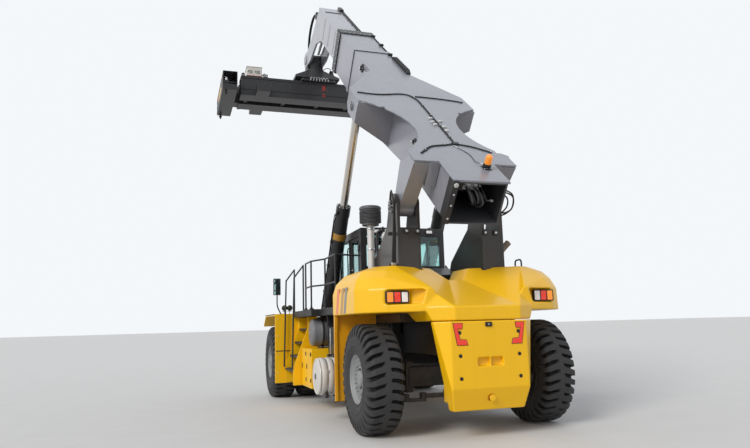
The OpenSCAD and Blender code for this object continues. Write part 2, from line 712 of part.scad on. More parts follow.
// Each window is a hole given as its x, y and z spans; its pane is set in with a seal's clearance.
glass_t = 10;
rear_hole = [[cab_x - 10, cab_x + cab_wall + 10], [-cab_half_w + 100, cab_half_w - 100],
    [sill_z, head_rail_z]];
roof_hole = [[cab_x + 120, cab_x + cab_len - 260], [-cab_half_w + 130, cab_half_w - 130],
    [cab_top - 90, cab_top + 10]];
flank_hole = [[cab_x + 820, cab_x + cab_len - 240], [cab_half_w - 90, cab_half_w + 10],
    [2450, head_rail_z]];
back_flank_hole = [[cab_x + 110, cab_x + 720], [-cab_half_w - 10, -cab_half_w + 90],
    [sill_z - 200, head_rail_z]];
hinge_z = [door_low + 150, head_rail_z - 300];
hinge_len = 110;
hinge_d = 30;
module hole(h) { block(h[0], h[1], h[2]); }
module pane(h, axis, at) {
    spans = [for (i = [0:2]) i == axis ? [at - glass_t / 2, at + glass_t / 2] : [h[i][0] + seat,
        h[i][1] - seat]];
    hole(spans);
}
module cab_shell() {
    color([0.08, 0.08, 0.09]) at_machine() {
        difference() {
            from_side(-cab_half_w, cab_half_w) cab_outline();
            from_side(-cab_half_w + cab_wall, cab_half_w - cab_wall) cab_inside();
            hole(rear_hole);
            hole(roof_hole);
            both_sides() hole(flank_hole);
            hole(back_flank_hole);
            block([cab_x + cab_len - 400, cab_x + cab_len + 50], [-cab_half_w + 90, cab_half_w - 90],
                [cab_z + 480, head_rail_z + 20]);
            block(door_x, [cab_half_w - cab_wall - 10, cab_half_w + 10], [door_low, head_rail_z]);
        }
        both_sides() block([cab_x + 60, cab_x + cab_len - 330],
            [frame_half_w - beam_w + 10, frame_half_w - 20], [frame_top, cab_z + 1]);
        for (z = hinge_z) {
            rod_z(door_hinge[0], door_hinge[1], z + hinge_len + fit, z + hinge_len + 50, hinge_d);
            block([door_hinge[0] - 60, door_hinge[0]], [cab_half_w - 1, cab_half_w + 12],
                [z + hinge_len + fit, z + hinge_len + 50]);
        }
    }
}
module cab_glass() {
    color([0.45, 0.62, 0.62, 0.6]) at_machine() {
        pane(rear_hole, 0, cab_x + 25);
        pane(roof_hole, 2, cab_top - 35);
        both_sides() pane(flank_hole, 1, cab_half_w - 30);
        pane(back_flank_hole, 1, -cab_half_w + 30);
    }
}
module cab_seat() {
    color([0.12, 0.12, 0.13]) at_machine() {
        block([cab_x + 520, cab_x + 880], [-200, 200], [cab_z + cab_wall, cab_z + 400]);
        block([cab_x + 450, cab_x + 980], [-260, 260], [cab_z + 400, cab_z + 520]);
        from_side(-250, 250) polygon([
            [cab_x + 450, cab_z + 520], [cab_x + 560, cab_z + 520], [cab_x + 430, cab_z + 1200],
            [cab_x + 330, cab_z + 1200]]);
    }
}
module cab_console() {
    color([0.14, 0.14, 0.15]) at_machine() {
        from_side(-150, 150) polygon([
            [cab_x + 1290, cab_z + cab_wall], [cab_x + 1430, cab_z + cab_wall], [cab_x + 1400, cab_z + 700],
            [cab_x + 1280, cab_z + 740]]);
        translate([cab_x + 1240, 0, cab_z + 790]) rotate([0, -28, 0]) {
            rotate_extrude() translate([180, 0]) circle(d = 34);
            cylinder(h = 30, d = 90, center = true);
            for (a = [0:120:240]) rotate([0, 0, a]) translate([0, -15, -8]) cube([180, 30, 16]);
            translate([0, 0, -90]) cylinder(h = 90, d = 60);
        }
        block([cab_x + 560, cab_x + 1000], [-470, -290], [cab_z + cab_wall, cab_z + 700]);
    }
}
module cab_door() {
    color([0.08, 0.08, 0.09]) at_machine() {
        difference() {
            block([door_x[0] + door_gap, door_x[1] - door_gap],
                [cab_half_w - cab_wall + 8, cab_half_w - door_gap],
                [door_low + door_gap, head_rail_z - door_gap]);
            hole(door_hole);
        }
        for (z = hinge_z) {
            rod_z(door_hinge[0], door_hinge[1], z, z + hinge_len, hinge_d);
            block([door_hinge[0], door_x[0] + 90], [cab_half_w + 1, cab_half_w + 11], [z, z + hinge_len]);
            block([door_x[0] + 20, door_x[0] + 90], [cab_half_w - door_gap - 1, cab_half_w + 2],
                [z, z + hinge_len]);
        }
        block([door_x[1] - 70, door_x[1] - 20], [cab_half_w - door_gap - 1, cab_half_w + 22],
            [door_low + 560, door_low + 700]);
    }
}
module door_glass() {
    color([0.45, 0.62, 0.62, 0.6]) at_machine() pane(door_hole, 1, cab_half_w - 33);
}

// Handrails round the decks and up the steps.
rail_d = 34;
rail_top = 2900;
rail_mid = 2400;
rail_z0 = deck_z + (rail_d + joint_swell) / 2;
rail_out = deck_out - 20;
rail_in = deck_in - 20;
rail_posts = [[step_x[0] - 390, rail_out], [3000, rail_out], [2560, rail_in], [1750, rail_in]];
module handrails() {
    color([0.1, 0.1, 0.11]) at_machine() both_sides() {
        for (z = [rail_top, rail_mid]) rail([for (p = rail_posts) [p[0], p[1], z]], rail_d);
        rail([[1750, rail_in, rail_top], [1900, 990, rail_top]], rail_d);
        for (p = rail_posts) rod_z(p[0], p[1], deck_z, rail_top, rail_d);
        for (x = [[step_x[0] - 30, step_x[0]], [step_x[1] - 5, step_x[1] - 20]])
            rail([
                [x[0], rail_out - 20, rail_z0], [x[0], rail_out - 20, rail_top],
                [x[1], step_out - 30, rail_top - 250], [x[1], step_out + 20, 760]], rail_d);
    }
}
mirror_x = wheelbase - 500;
lamp_x = wheelbase - 700;
module mirrors_lamps() {
    color([0.1, 0.1, 0.11]) at_machine() both_sides() {
        rail([
            [mirror_x, 1880, fender_top + 17], [mirror_x, 1965, fender_top + 190],
            [mirror_x, 1965, fender_top + 450]], 30);
        block([mirror_x - 20, mirror_x + 40], [1875, 2055], [fender_top + 440, fender_top + 845]);
        for (y = [1710, 1830]) {
            rod_z(lamp_x, y, fender_top, fender_top + 80, 30);
            rod_x(lamp_x - 45, lamp_x + 45, y, fender_top + 140, 130);
        }
    }
}

// Boom: a box that deepens from its foot to its mouth, under one wide shaped top plate.
box_low = boom_top - boom_depth;
foot_low = 290;
taper_s = [700, 2900];
yoke_s = [2130, 2850];
yoke_pin = [2450, 780];
plate_t = 30;
ear_t = 30;
ear_gap = rod_d + 12;
ear_low = 570;
ear_in = lift_y - ear_gap / 2 - ear_t;
yoke_y = lift_y + ear_gap / 2 + ear_t;
leg_y = [tower_in + tower_plate + 12, tower_out - tower_plate - 12];
module box_side(top) {
    polygon([
        [foot_s - 60, foot_low], [taper_s[0], foot_low], [taper_s[1], box_low], [mouth_s, box_low],
        [mouth_s, top], [foot_s, top]]);
}
waist_r = 1300;
module top_plate_plan() {
    difference() {
        polygon([
            [foot_s, -470], [-330, -470], [-330, -leg_y[1]], [-60, -leg_y[1]], [900, -yoke_y],
            [yoke_s[1], -yoke_y],
            [4150, -boom_half_w - 5], [mouth_s, -boom_half_w - 5], [mouth_s, boom_half_w + 5],
            [4150, boom_half_w + 5], [yoke_s[1], yoke_y], [900, yoke_y], [-60, leg_y[1]],
            [-330, leg_y[1]], [-330, 470], [foot_s, 470]]);
        for (s = [-1, 1]) {
            translate([1030, s * (boom_half_w + 10 + waist_r)]) circle(r = waist_r, $fn = 96);
            translate([1030, s * 1500]) square([1800, 1550], center = true);
        }
    }
}
module leg_profile() {
    union() {
        polygon([
            [-330, boom_top - 40], [-60, boom_top - 40], [250, 700], [tower_pin_r + 60, 0],
            [-tower_pin_r - 60, 0]]);
        circle(r = tower_pin_r + 85);
    }
}
module boom_base() {
    color([0.56, 0.57, 0.6]) at_boom() difference() {
        union() {
            difference() {
                from_side(-boom_half_w, boom_half_w) box_side(boom_top - plate_t + 1);
                from_side(-boom_half_w + boom_wall, boom_half_w - boom_wall) polygon([
                    [foot_s - 200, foot_low + boom_wall], [taper_s[0], foot_low + boom_wall],
                    [taper_s[1], box_low + boom_wall], [mouth_s + 100, box_low + boom_wall],
                    [mouth_s + 100, boom_top - boom_wall - plate_t],
                    [foot_s - 200, boom_top - boom_wall - plate_t]]);
            }
            from_above(boom_top - plate_t, boom_top) top_plate_plan();
            both_sides() {
                from_side(leg_y[0], leg_y[1]) leg_profile();
                block([-330, 200], [boom_half_w - 5, leg_y[0] + 5], [560, boom_top - plate_t]);
                from_rear(yoke_s[0], yoke_s[0] + ear_t) polygon([
                    [boom_half_w - 5, 140], [boom_half_w + 120, 220], [yoke_y, ear_low],
                    [yoke_y, boom_top - plate_t], [boom_half_w - 5, boom_top - plate_t]]);
                from_rear(yoke_s[1] - ear_t, yoke_s[1]) polygon([
                    [boom_half_w - 5, 140], [boom_half_w + 120, 220], [ear_in - 60, ear_low + 130],
                    [ear_in + 1, ear_low + 130], [ear_in + 1, boom_top - plate_t],
                    [boom_half_w - 5, boom_top - plate_t]]);
                for (y = [ear_in, yoke_y - ear_t]) from_side(y, y + ear_t) polygon([
                    [yoke_s[0], ear_low], [yoke_s[1] - 150, ear_low], [yoke_s[1], ear_low + 130],
                    [yoke_s[1], boom_top - plate_t], [yoke_s[0], boom_top - plate_t]]);
                block([mouth_s - 300, mouth_s - 30], [80, 280], [box_low + boom_wall - 1, inner_low - fit]);
                rod_y(yoke_pin[0], yoke_y, yoke_y + 22, yoke_pin[1], pin_d + 60);
            }
            for (x = [mouth_s - 160, 5600]) difference() {
                from_side(-boom_half_w - 22, boom_half_w + 22)
                    polygon([[x, box_low - 22], [x + 140, box_low - 22], [x + 140, boom_top + 22],
                        [x, boom_top + 22]]);
                from_side(-boom_half_w + 5, boom_half_w - 5)
                    polygon([[x - 10, box_low + 5], [x + 170, box_low + 5], [x + 170, boom_top - 5],
                        [x - 10, boom_top - 5]]);
            }
        }
        both_sides() rod_y(0, leg_y[0] - 100, leg_y[1] + 100, 0, 2 * tower_pin_r + 2 * fit);
    }
}
pipe_d = 42;
fitting_d = pipe_d + 12;
pipe_t = boom_top + (pipe_d + joint_swell) / 2;
module pipe_run(points) {
    for (i = [0:len(points) - 2]) strut(points[i], points[i + 1], pipe_d);
    for (p = points) rod_z(p[0], p[1], boom_top, boom_top + pipe_d + joint_swell, fitting_d);
}
module boom_pipes() {
    color([0.07, 0.07, 0.08]) at_boom() {
        pipe_run([[5560, -410, pipe_t], [3900, -410, pipe_t]]);
        pipe_run([[2750, 1060, pipe_t], [2450, 600, pipe_t], [2050, 250, pipe_t],
            [900, 60, pipe_t], [350, 60, pipe_t], [250, 500, pipe_t], [-100, 690, pipe_t]]);
        pipe_run([[2750, -1060, pipe_t], [2450, -600, pipe_t], [2050, -250, pipe_t], [1100, -60, pipe_t]]);
        for (s = [5500, 4800, 4100]) block([s - 25, s + 25], [-435, -385], [boom_top, boom_top + 68]);
    }
}
module beacon() {
    at_boom() {
        color([0.1, 0.1, 0.1]) block([-560, -420], [-330, -190], [boom_top, boom_top + 60]);
        color([0.95, 0.5, 0.08]) {
            translate([-490, -260, boom_top + 59]) cylinder(h = 120, d = 120);
            translate([-490, -260, boom_top + 178]) sphere(d = 118);
        }
    }
}

// Inner boom with its bent head.
tail_s = 3550;
inner_top = boom_top - 135;
inner_low = inner_top - inner_depth;
neck_reach = 1650;
neck_s = head_s - neck_reach;
cheek_t = 60;
cheek_y = 210;
module head_cheek() {
    union() {
        polygon([
            [neck_s - 500, inner_low + 10], [neck_s - 500, inner_top - 10], [neck_s + 250, inner_top - 10],
            [neck_s + 720, 560],
            [neck_s + 1150, -250], [head_s + 230, head_t - 60], [head_s - 230, head_t - 140],
            [neck_s + 900, -900],
            [neck_s + 400, -250]]);
        translate([head_s, head_t]) circle(r = 250);
    }
}
module boom_inner() {
    color([0.72, 0.73, 0.75]) at_boom() difference() {
        union() {
            difference() {
                from_side(-inner_half_w, inner_half_w) polygon([
                    [tail_s, inner_low + 230], [tail_s + 1500, inner_low], [neck_s, inner_low],
                    [neck_s + 250, inner_top], [tail_s, inner_top]]);
                from_side(-inner_half_w + boom_wall, inner_half_w - boom_wall) polygon([
                    [tail_s - 100, inner_low + 230 + boom_wall], [tail_s, inner_low + 230 + boom_wall],
                    [tail_s + 1500, inner_low + boom_wall], [neck_s - 60, inner_low + boom_wall],
                    [neck_s + 150, inner_top - boom_wall], [tail_s - 100, inner_top - boom_wall]]);
            }
            both_sides() from_side(cheek_y, cheek_y + cheek_t) head_cheek();
            block([neck_s + 150, neck_s + 230], [-cheek_y - 5, cheek_y + 5],
                [inner_low + 40, inner_top - 20]);
            from_side(-cheek_y - 5, cheek_y + 5) polygon([
                [neck_s + 230, inner_top - 10], [neck_s + 255, inner_top - 10], [neck_s + 715, 560],
                [neck_s + 1140, -250],
                [neck_s + 1105, -250], [neck_s + 690, 545], [neck_s + 230, inner_top - 40]]);
            both_sides() {
                rod_y(head_s, cheek_y + cheek_t, cheek_y + cheek_t + 30, head_t, 300);
                block([tail_s + 60, tail_s + 320], [80, 280],
                    [inner_top - 1, boom_top - plate_t - boom_wall - fit]);
            }
        }
        rod_y(head_s, -400, 400, head_t, 160 + 2 * fit);
    }
}

// Lift cylinders, from the frame's ears up to the boom's yoke.
pin_x = pivot_x + yoke_pin[0] * cos(boom_angle) - yoke_pin[1] * sin(boom_angle);
pin_z = pivot_z + yoke_pin[0] * sin(boom_angle) + yoke_pin[1] * cos(boom_angle);
lift_len = norm([pin_x - lift_x, pin_z - lift_z]);
lift_tilt = atan2(pin_z - lift_z, pin_x - lift_x);
module at_lift(side) {
    at_machine() translate([lift_x, side * lift_y, lift_z]) rotate([0, -lift_tilt, 0]) children();
}
barrel_eye_w = lift_ear_y[1] - lift_ear_y[0] - lift_ear_t - 2 * gap;
rod_eye_d = 210;
module lift_barrel(side) {
    color([0.11, 0.11, 0.12]) at_lift(side) difference() {
        union() {
            rod_x(150, barrel_len, 0, 0, barrel_d);
            rod_x(barrel_len - 220, barrel_len, 0, 0, barrel_d + 20);
            rod_x(barrel_len - 730, barrel_len - 590, 0, 0, barrel_d + 14);
            rod_y(0, -barrel_eye_w / 2, barrel_eye_w / 2, 0, 230);
            rod_x(90, 170, 0, 0, 220);
            rod_x(330, barrel_len - 280, side * (barrel_d / 2 + 22), 0, 34);
            block([300, 360], [side * (barrel_d / 2 + 22) - 22, side * (barrel_d / 2 + 22) + 22],
                [-22, 22]);
        }
        rod_y(0, -200, 200, 0, pin_d + 2 * fit);
        rod_x(400, barrel_len + 10, 0, 0, rod_d + 2 * fit);
    }
}
module lift_rod(side) {
    color([0.82, 0.83, 0.85]) at_lift(side) {
        rod_x(lift_len - rod_len, lift_len - 80, 0, 0, rod_d);
        rod_y(lift_len, -ear_gap / 2 + gap, ear_gap / 2 - gap, 0, rod_eye_d);
    }
}
module lift_barrel_left() { lift_barrel(1); }
module lift_barrel_right() { lift_barrel(-1); }
module lift_rod_left() { lift_rod(1); }
module lift_rod_right() { lift_rod(-1); }

// Hanger: hangs from the head pivot and carries the slew ring.
hanger_low = -830;
hanger_waist = -440;
hanger_y = cheek_y - gap - 20;
hanger_foot = 720;
module head_hanger() {
    color([0.1, 0.1, 0.11]) at_head() {
        intersection() {
            from_side(-900, 900) polygon([
                [-170, 60], [170, 60], [240, -260], [600, hanger_low], [-600, hanger_low], [-240, -260]]);
            from_rear(-700, 700) polygon([
                [-hanger_y, 80], [hanger_y, 80], [hanger_y, hanger_waist], [hanger_foot, -740],
                [hanger_foot, hanger_low], [-hanger_foot, hanger_low], [-hanger_foot, -740],
                [-hanger_y, hanger_waist]]);
        }
        rod_y(0, -cheek_y + gap, cheek_y - gap, 0, 380);
        rod_y(0, -cheek_y - cheek_t - 28, cheek_y + cheek_t + 28, 0, 160);
    }
}
ring_low = hanger_low - 110;
carriage_low = ring_low - 70;
lane_x = 420;
lane_w = 520;
lane_wall = 26;
lane_top = carriage_low - fit;
lane_low = -spreader_drop + 120;
module spreader_rotator() {
    color([0.13, 0.13, 0.14]) at_head() {
        rod_z(0, 0, ring_low, hanger_low - fit, 1180);
        difference() {
            block([-760, 760], [-560, 560], [carriage_low, ring_low]);
            for (s = [-1, 1])
                block([s * lane_x - 90, s * lane_x + 90], [-600, 600],
                    [carriage_low - 1, carriage_low + 22]);
        }
    }
}
end_beam_w = 430;
end_in = spreader_len / 2 - end_beam_w;
frame_half_len = end_in - 150;
beam_len = end_in + frame_half_len - 150;
cross_y = [-frame_half_len + 150, -1100, -120, 980, frame_half_len - 270];
foot_y = [-frame_half_len + 450, frame_half_len - 850];
module spreader_frame() {
    color([0.1, 0.1, 0.11]) at_head() {
        for (s = [-1, 1]) {
            difference() {
                block([s * lane_x - lane_w / 2, s * lane_x + lane_w / 2], [-frame_half_len, frame_half_len],
                    [lane_low, lane_top]);
                block([s * lane_x - lane_w / 2 + lane_wall, s * lane_x + lane_w / 2 - lane_wall],
                    [-frame_half_len - 1, frame_half_len + 1],
                    [lane_low + lane_wall, lane_top - lane_wall]);
            }
            block([s * lane_x - 80, s * lane_x + 80], [-1550, 1550], [lane_top - 1, lane_top + 16]);
            block([s * lane_x - 160, s * lane_x + 160],
                s > 0 ? [frame_half_len - 200, frame_half_len] : [-frame_half_len, -frame_half_len + 200],
                [lane_low + lane_wall - 1, arm_z0 - fit]);
        }
        for (y = cross_y) block([-lane_x + lane_w / 2 - 5, lane_x - lane_w / 2 + 5], [y, y + 120],
            [lane_low + 40, lane_top - 60]);
        for (y = foot_y) for (s = [-1, 1])
            block([s * 900 - 220, s * 900 + 220], [y, y + 400], [lane_low, lane_low + 240]);
    }
}
module spreader_cabinet() {
    color([0.85, 0.83, 0.8]) at_head()
        block([-lane_x - 250, -lane_x + 230], [frame_half_len - 650, frame_half_len - 180],
            [lane_top, lane_top + 330]);
}
arm_slack = 12;
arm_wall = 20;
arm_x = lane_w / 2 - lane_wall - arm_slack;
arm_z0 = lane_low + lane_wall + arm_slack;
arm_z1 = lane_top - lane_wall - arm_slack;
end_z0 = -spreader_drop + 40;
end_z1 = -spreader_drop + 620;
// Each lock hangs on its shaft: a tapered head, cut flat on two sides, with a blunt nose below it.
lock_end = 103;
lock_d = 62;
lock_reach = 75;
nose_d = 50;
nose_h = 25;
module spreader_arm() {
    difference() {
        block([lane_x - arm_x, lane_x + arm_x], [end_in - beam_len, end_in + arm_wall], [arm_z0, arm_z1]);
        block([lane_x - arm_x + arm_wall, lane_x + arm_x - arm_wall], [end_in - beam_len - 1, end_in],
            [arm_z0 + arm_wall, arm_z1 - arm_wall]);
    }
    difference() {
        block([-spreader_w / 2, spreader_w / 2], [end_in, spreader_len / 2], [end_z0, end_z1]);
        block([-spreader_w / 2 - 1, spreader_w / 2 + 1], [end_in + arm_wall, spreader_len / 2 - arm_wall],
            [end_z0 + 180, end_z1 - arm_wall]);
        block([-lock_w / 2 + 200, lock_w / 2 - 200], [end_in + arm_wall, spreader_len / 2 - arm_wall],
            [end_z0 + arm_wall, end_z0 + 181]);
    }
    block([lane_x - arm_x, lane_x + arm_x], [end_in, end_in + arm_wall], [end_z1 - 1, arm_z1]);
    for (z = [lane_low + lane_wall + fit, arm_z1 - 1])
        block([lane_x - 160, lane_x + 160], [end_in - beam_len, end_in - beam_len + 200],
            [z, z + arm_slack + 1 - fit]);
    for (s = [-1, 1]) translate([s * lock_w / 2, spreader_len / 2 - lock_end,
        -spreader_drop - lock_reach]) {
        cylinder(h = lock_reach + 55, d = lock_d);
        translate([0, 0, -nose_h]) cylinder(h = nose_h + 1, d = nose_d);
        intersection() {
            cylinder(h = 60, d1 = nose_d, d2 = 110);
            translate([-40, -60, 0]) cube([80, 120, 60]);
        }
    }
}
module spreader_arm_left() { color([0.11, 0.11, 0.12]) at_head() spreader_arm(); }
module spreader_arm_right() { color([0.11, 0.11, 0.12]) at_head() rotate([0, 0, 180]) spreader_arm(); }

chassis_frame();
drive_axle();
steer_axle();
steer_rod();
counterweight();
rear_body();
rear_mudguards();
rear_lamps();
boom_towers();
engine_block();
engine_hood();
side_decks();
access_steps();
front_fenders();
side_tanks();
air_receivers();
air_cleaner();
exhaust_pipe();
cab_shell();
cab_glass();
cab_seat();
cab_console();
cab_door();
door_glass();
handrails();
mirrors_lamps();
knuckle_left();
knuckle_right();
tyre_rear_left();
rim_rear_left();
tyre_rear_right();
rim_rear_right();
tyres_front_left();
rims_front_left();
tyres_front_right();
rims_front_right();
boom_base();
boom_pipes();
beacon();
boom_inner();
lift_barrel_left();
lift_rod_left();
lift_barrel_right();
lift_rod_right();
head_hanger();
spreader_rotator();
spreader_frame();
spreader_cabinet();
spreader_arm_left();
spreader_arm_right();
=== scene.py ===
"""Looks of a container reach stacker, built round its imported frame.

Lengths are metres in the row frame: x runs forward, y to the machine's left and z up from the ground.
Each sub-assembly is a class with its own sizes, and each finish is a paint with its own values.
"""

from __future__ import annotations

import json
import logging
import math
from dataclasses import dataclass
from enum import IntEnum
from typing import Callable, Iterable, Sequence

import bmesh
import bpy
import numpy as np
from mathutils import Matrix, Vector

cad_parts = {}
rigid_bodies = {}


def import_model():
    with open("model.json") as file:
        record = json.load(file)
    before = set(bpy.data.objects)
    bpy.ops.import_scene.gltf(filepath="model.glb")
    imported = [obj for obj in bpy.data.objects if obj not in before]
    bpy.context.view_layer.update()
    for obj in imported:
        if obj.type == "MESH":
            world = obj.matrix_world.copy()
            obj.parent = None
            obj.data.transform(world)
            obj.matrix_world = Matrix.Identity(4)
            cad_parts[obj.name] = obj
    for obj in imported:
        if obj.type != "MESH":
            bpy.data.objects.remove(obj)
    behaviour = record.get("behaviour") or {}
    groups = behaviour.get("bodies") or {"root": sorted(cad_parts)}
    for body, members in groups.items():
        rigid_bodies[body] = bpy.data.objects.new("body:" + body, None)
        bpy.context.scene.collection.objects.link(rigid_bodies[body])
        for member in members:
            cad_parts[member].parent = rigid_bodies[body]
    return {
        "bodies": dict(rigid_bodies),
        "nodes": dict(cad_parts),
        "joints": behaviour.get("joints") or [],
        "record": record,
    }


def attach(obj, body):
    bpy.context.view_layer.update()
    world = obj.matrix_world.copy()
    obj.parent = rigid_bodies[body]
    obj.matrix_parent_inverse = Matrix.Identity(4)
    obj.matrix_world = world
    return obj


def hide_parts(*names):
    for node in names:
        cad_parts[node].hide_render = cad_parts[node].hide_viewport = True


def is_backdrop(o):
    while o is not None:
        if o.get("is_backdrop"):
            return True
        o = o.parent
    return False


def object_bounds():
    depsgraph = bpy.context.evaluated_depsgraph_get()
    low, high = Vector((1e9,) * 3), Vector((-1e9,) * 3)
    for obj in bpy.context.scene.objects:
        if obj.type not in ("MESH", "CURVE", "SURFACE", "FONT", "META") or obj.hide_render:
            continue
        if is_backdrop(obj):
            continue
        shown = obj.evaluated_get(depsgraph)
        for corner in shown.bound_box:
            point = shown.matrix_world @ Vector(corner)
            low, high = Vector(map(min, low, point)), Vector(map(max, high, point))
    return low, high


log = logging.getLogger("reach_stacker")

Zone = Callable[[np.ndarray, np.ndarray], np.ndarray]

REAR_AXLE_X = -5.040604618958845
BOOM_ANGLE = 40.0
SHARP_ANGLE = 30.0
SHADE_ANGLE = 35.0
WELD = 3e-5
DUSTY_ROUGH = 0.85
GLASS_IOR = 1.45
LIFT_TILT = 124.93855240341313
WHEELBASE = 6.0
REAR_TRACK = 1.4
FRONT_TRACK = 1.8
TYRE_WIDTH = 0.56
TWIN_GAP = 0.09

UP = (0, 0, 1)
LEFT = (0, 1, 0)
AHEAD = (1, 0, 0)
BACK = (-1, 0, 0)


def unit(vector: Sequence[float] | np.ndarray) -> np.ndarray:
    """Returns the vector at length one."""
    v = np.asarray(vector, float)
    return v / np.linalg.norm(v, axis=-1, keepdims=True)


@dataclass(frozen=True)
class Station:
    """A local frame of the machine: its origin in the row frame, pitched nose-up by an angle in degrees."""

    x: float
    y: float
    z: float
    pitch: float = 0.0

    def place(self, points: np.ndarray) -> np.ndarray:
        """Turns local points about the cross axis by the pitch, then shifts them to the origin.

        Args:
            points: any array whose last axis is x, y, z in this station.

        Returns:
            The same array in the row frame.
        """
        p = np.asarray(points, float)
        c, s = math.cos(math.radians(self.pitch)), math.sin(math.radians(self.pitch))
        turned = np.stack([p[..., 0] * c - p[..., 2] * s, p[..., 1], p[..., 0] * s + p[..., 2] * c], axis=-1)
        return turned + np.array([self.x, self.y, self.z])

    def level(self, directions: np.ndarray) -> np.ndarray:
        """Returns row-frame directions as this station sees them: the turn undone."""
        p = np.asarray(directions, float)
        c, s = math.cos(math.radians(self.pitch)), math.sin(math.radians(self.pitch))
        return np.stack([p[..., 0] * c + p[..., 2] * s, p[..., 1], -p[..., 0] * s + p[..., 2] * c], axis=-1)

    def local(self, points: np.ndarray) -> np.ndarray:
        """Returns row-frame points as this station sees them: the shift undone, then the turn."""
        return self.level(np.asarray(points, float) - np.array([self.x, self.y, self.z]))


MACHINE = Station(REAR_AXLE_X, 0.0, 0.0)
BOOM = Station(REAR_AXLE_X + 0.15, 0.0, 3.5, BOOM_ANGLE)
HEAD = Station(REAR_AXLE_X + 10.081739, 0.0, 10.3325)


# Shader building


class Wiring:
    """Makes and joins the nodes of one shader tree."""

    def __init__(self, tree: bpy.types.NodeTree) -> None:
        """Takes the tree to work in."""
        self.tree = tree

    def add(self, kind: str, inputs: dict | None = None, **settings: object) -> bpy.types.Node:
        """Adds a node.

        Args:
            kind: the node's type name, without its ShaderNode prefix.
            inputs: a value or a socket to join, by input name or number.
            settings: the node's own properties.

        Returns:
            The new node.
        """
        node = self.tree.nodes.new("ShaderNode" + kind)
        for name, value in settings.items():
            setattr(node, name, value)
        for name, value in (inputs or {}).items():
            if isinstance(value, bpy.types.NodeSocket):
                self.tree.links.new(value, node.inputs[name])
            else:
                node.inputs[name].default_value = value
        return node

    def math(self, operation: str, *values: object) -> bpy.types.NodeSocket:
        """Returns the output of a math node over the values or sockets given."""
        return self.add("Math", dict(enumerate(values)), operation=operation).outputs[0]

    def ramp(self, value: object, low: float, high: float, start: object = 0.0,
             end: object = 1.0) -> bpy.types.NodeSocket:
        """Returns value carried smoothly from the span low..high to start..end, held at its ends."""
        inputs = {"Value": value, "From Min": low, "From Max": high, "To Min": start, "To Max": end}
        return self.add("MapRange", inputs, interpolation_type="SMOOTHSTEP").outputs[0]

    def blend(self, share: object, first: object, second: object, mode: str = "MIX") -> bpy.types.NodeSocket:
        """Returns one colour laid over another by a share from nought to one."""
        node = self.add("Mix", {0: share, 6: first, 7: second}, data_type="RGBA", blend_type=mode)
        return node.outputs[2]

    def noise(self, where: object, scale: object, detail: float = 3.0,
              rough: float = 0.5) -> bpy.types.NodeSocket:
        """Returns a cloudy value about one half over the coordinates given."""
        inputs = {"Vector": where, "Scale": scale, "Detail": detail, "Roughness": rough}
        return self.add("TexNoise", inputs).outputs[0]


def shader_group(name: str, inputs: dict[str, tuple[str, object]], outputs: dict[str, str]) -> tuple:
    """Makes an empty node group with named sockets.

    Args:
        name: the group's name.
        inputs: for each input, its kind (Float or Color) and its first value.
        outputs: for each output, its kind.

    Returns:
        The group, its wiring, its input node's outputs and its output node's inputs.
    """
    group = bpy.data.node_groups.new(name, "ShaderNodeTree")
    for label, (kind, value) in inputs.items():
        group.interface.new_socket(label, in_out="INPUT", socket_type="NodeSocket" + kind).default_value = value
    for label, kind in outputs.items():
        group.interface.new_socket(label, in_out="OUTPUT", socket_type="NodeSocket" + kind)
    entry, leave = group.nodes.new("NodeGroupInput"), group.nodes.new("NodeGroupOutput")
    return group, Wiring(group), entry.outputs, leave.inputs


